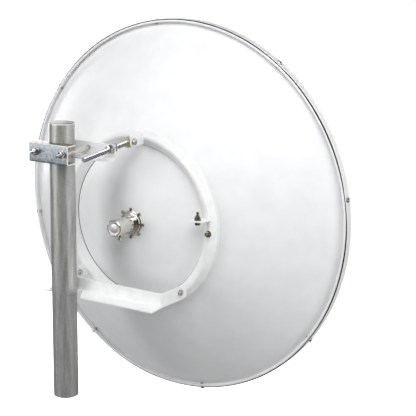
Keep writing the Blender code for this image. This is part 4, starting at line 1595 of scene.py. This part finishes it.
@dataclass
class Softbox:
    """One area light of the studio, hung round the dish.

    Attributes:
        name: Name of the light.
        bearing: Direction from the dish in degrees, 0 behind the dish, 90 to its right.
        rise: Angle above the level in degrees.
        power: Power in watts.
        mirrored: Whether metals show its reflection.
        size: Side of the light in metres.
        distance: Distance from the dish's centre in metres.
    """

    name: str
    bearing: float
    rise: float
    power: float
    mirrored: bool = True
    size: float = 2.4
    distance: float = 4.2

    def build(self, target: Vector) -> None:
        """Hang the light and turn it to the target."""
        data = bpy.data.lights.new(self.name, "AREA")
        data.shape = "SQUARE"
        data.size = self.size
        data.energy = self.power
        turn, lift = math.radians(self.bearing), math.radians(self.rise)
        out = Vector((math.sin(turn) * math.cos(lift), -math.cos(turn) * math.cos(lift),
                      math.sin(lift)))
        lamp = bpy.data.objects.new(self.name, data)
        lamp.location = target + out * self.distance
        lamp.rotation_mode = "QUATERNION"
        lamp.rotation_quaternion = (-out).to_track_quat("-Z", "Y")
        lamp.visible_camera = False
        lamp.visible_glossy = self.mirrored
        bpy.context.scene.collection.objects.link(lamp)


@dataclass
class Studio:
    """Pale floor, soft lights, a white surround and the camera of the photograph."""

    datum: Datum
    floor_z: float = -1.45
    floor_size: float = 60.0
    sky: float = 0.23
    ground: float = 0.54
    mirror_share: float = 0.5
    camera_place: tuple[float, float, float] = (2.22963, -2.69343, 1.40142)
    camera_right: tuple[float, float, float] = (0.84197, 0.53942, 0.01069)
    camera_up: tuple[float, float, float] = (-0.13076, 0.18479, 0.97404)
    lens: float = 103.158
    sensor: float = 36.0
    lights: tuple[Softbox, ...] = (
        Softbox("back_left_softbox", -120.0, 8.0, 135.0),
        Softbox("front_left_softbox", -30.0, 8.0, 59.0),
        Softbox("right_softbox", 90.0, 8.0, 49.0),
        Softbox("high_left_softbox", -30.0, 45.0, 29.0),
        Softbox("high_right_softbox", 30.0, 45.0, 67.0),
        Softbox("high_side_softbox", 60.0, 45.0, 46.0),
        Softbox("low_left_softbox", -90.0, -30.0, 43.0, mirrored=False),
        Softbox("low_right_softbox", 90.0, -30.0, 38.0, mirrored=False))

    def build(self) -> None:
        """Set up floor, surround, lights and camera."""
        self.build_floor()
        self.build_surround()
        for light in self.lights:
            light.build(self.datum.origin)
        self.build_camera()
        bpy.context.scene.view_settings.view_transform = "Standard"

    def build_floor(self) -> None:
        """Lay the floor, pale and faintly lit by itself so that it stays white to the eye."""
        bpy.ops.object.select_all(action="DESELECT")
        place = self.datum.origin + Vector((0.0, 0.0, self.floor_z))
        bpy.ops.mesh.primitive_plane_add(size=self.floor_size, location=place)
        floor = bpy.context.active_object
        floor.name = "studio_floor"
        material = bpy.data.materials.new("pale_studio_floor")
        material.use_nodes = True
        shader = material.node_tree.nodes["Principled BSDF"]
        shader.inputs["Base Color"].default_value = srgb("#F2F2F2")
        shader.inputs["Roughness"].default_value = 0.9
        shader.inputs["Emission Color"].default_value = srgb("#FFFFFF")
        shader.inputs["Emission Strength"].default_value = 1.0
        floor.data.materials.append(material)
        floor.visible_diffuse = False
        floor.visible_glossy = False
        floor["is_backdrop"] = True

    def build_surround(self) -> None:
        """Make the surround: white to the camera; for light, dark level and bright up and down."""
        world = bpy.data.worlds.new("studio_surround")
        world.use_nodes = True
        bpy.context.scene.world = world
        world.node_tree.nodes.clear()
        graph = Graph(world.node_tree, "Generated")
        ray, height = graph.add("LightPath").outputs, graph.along("Z")
        level = graph.maths("ADD", graph.ramp(height, 0.0, 0.7, 0.0, self.sky),
                            graph.ramp(height, -0.7, 0.0, self.ground, 0.0))
        quiet = graph.ramp(ray["Is Glossy Ray"], 0.0, 1.0, 1.0, self.mirror_share)
        light = graph.add("Background", {"Color": srgb("#FFFFFF")},
                          {"Strength": graph.maths("MULTIPLY", level, quiet)})
        white = graph.add("Background", {"Color": srgb("#FFFFFF"), "Strength": 1.0})
        mix = graph.add("MixShader", {}, {0: ray["Is Camera Ray"], 1: light.outputs[0],
                                          2: white.outputs[0]})
        graph.add("OutputWorld", {}, {"Surface": mix.outputs[0]})

    def build_camera(self) -> None:
        """Stand the camera where the photograph was taken from."""
        data = bpy.data.cameras.new("photo_camera")
        data.lens, data.sensor_width = self.lens, self.sensor
        data.clip_start, data.clip_end = 0.05, 200.0
        camera = bpy.data.objects.new("photo_camera", data)
        right, up = Vector(self.camera_right), Vector(self.camera_up)
        turn = Matrix((right, up, right.cross(up))).transposed().to_4x4()
        camera.matrix_world = Matrix.Translation(self.camera_place) @ turn
        bpy.context.scene.collection.objects.link(camera)
        bpy.context.scene.camera = camera


def main() -> None:
    """Build the antenna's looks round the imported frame, then the studio."""
    logging.basicConfig(level=logging.INFO, format="%(name)s: %(message)s")
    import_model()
    datum = Datum.from_frame()
    looks = {look: look.value.build(datum) for look in Look}
    bench = Fasteners()
    for kind in (PoleStub, PoleClamp, UpperBracket, LowerBracket, DishShell, BackingRing,
                 ElevationRod, FeedUnit):
        assembly = kind(datum, looks, bench)
        assembly.build()
        assembly.report()
    bench.put_away()
    Studio(datum).build()
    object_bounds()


if __name__ == "__main__":
    main()
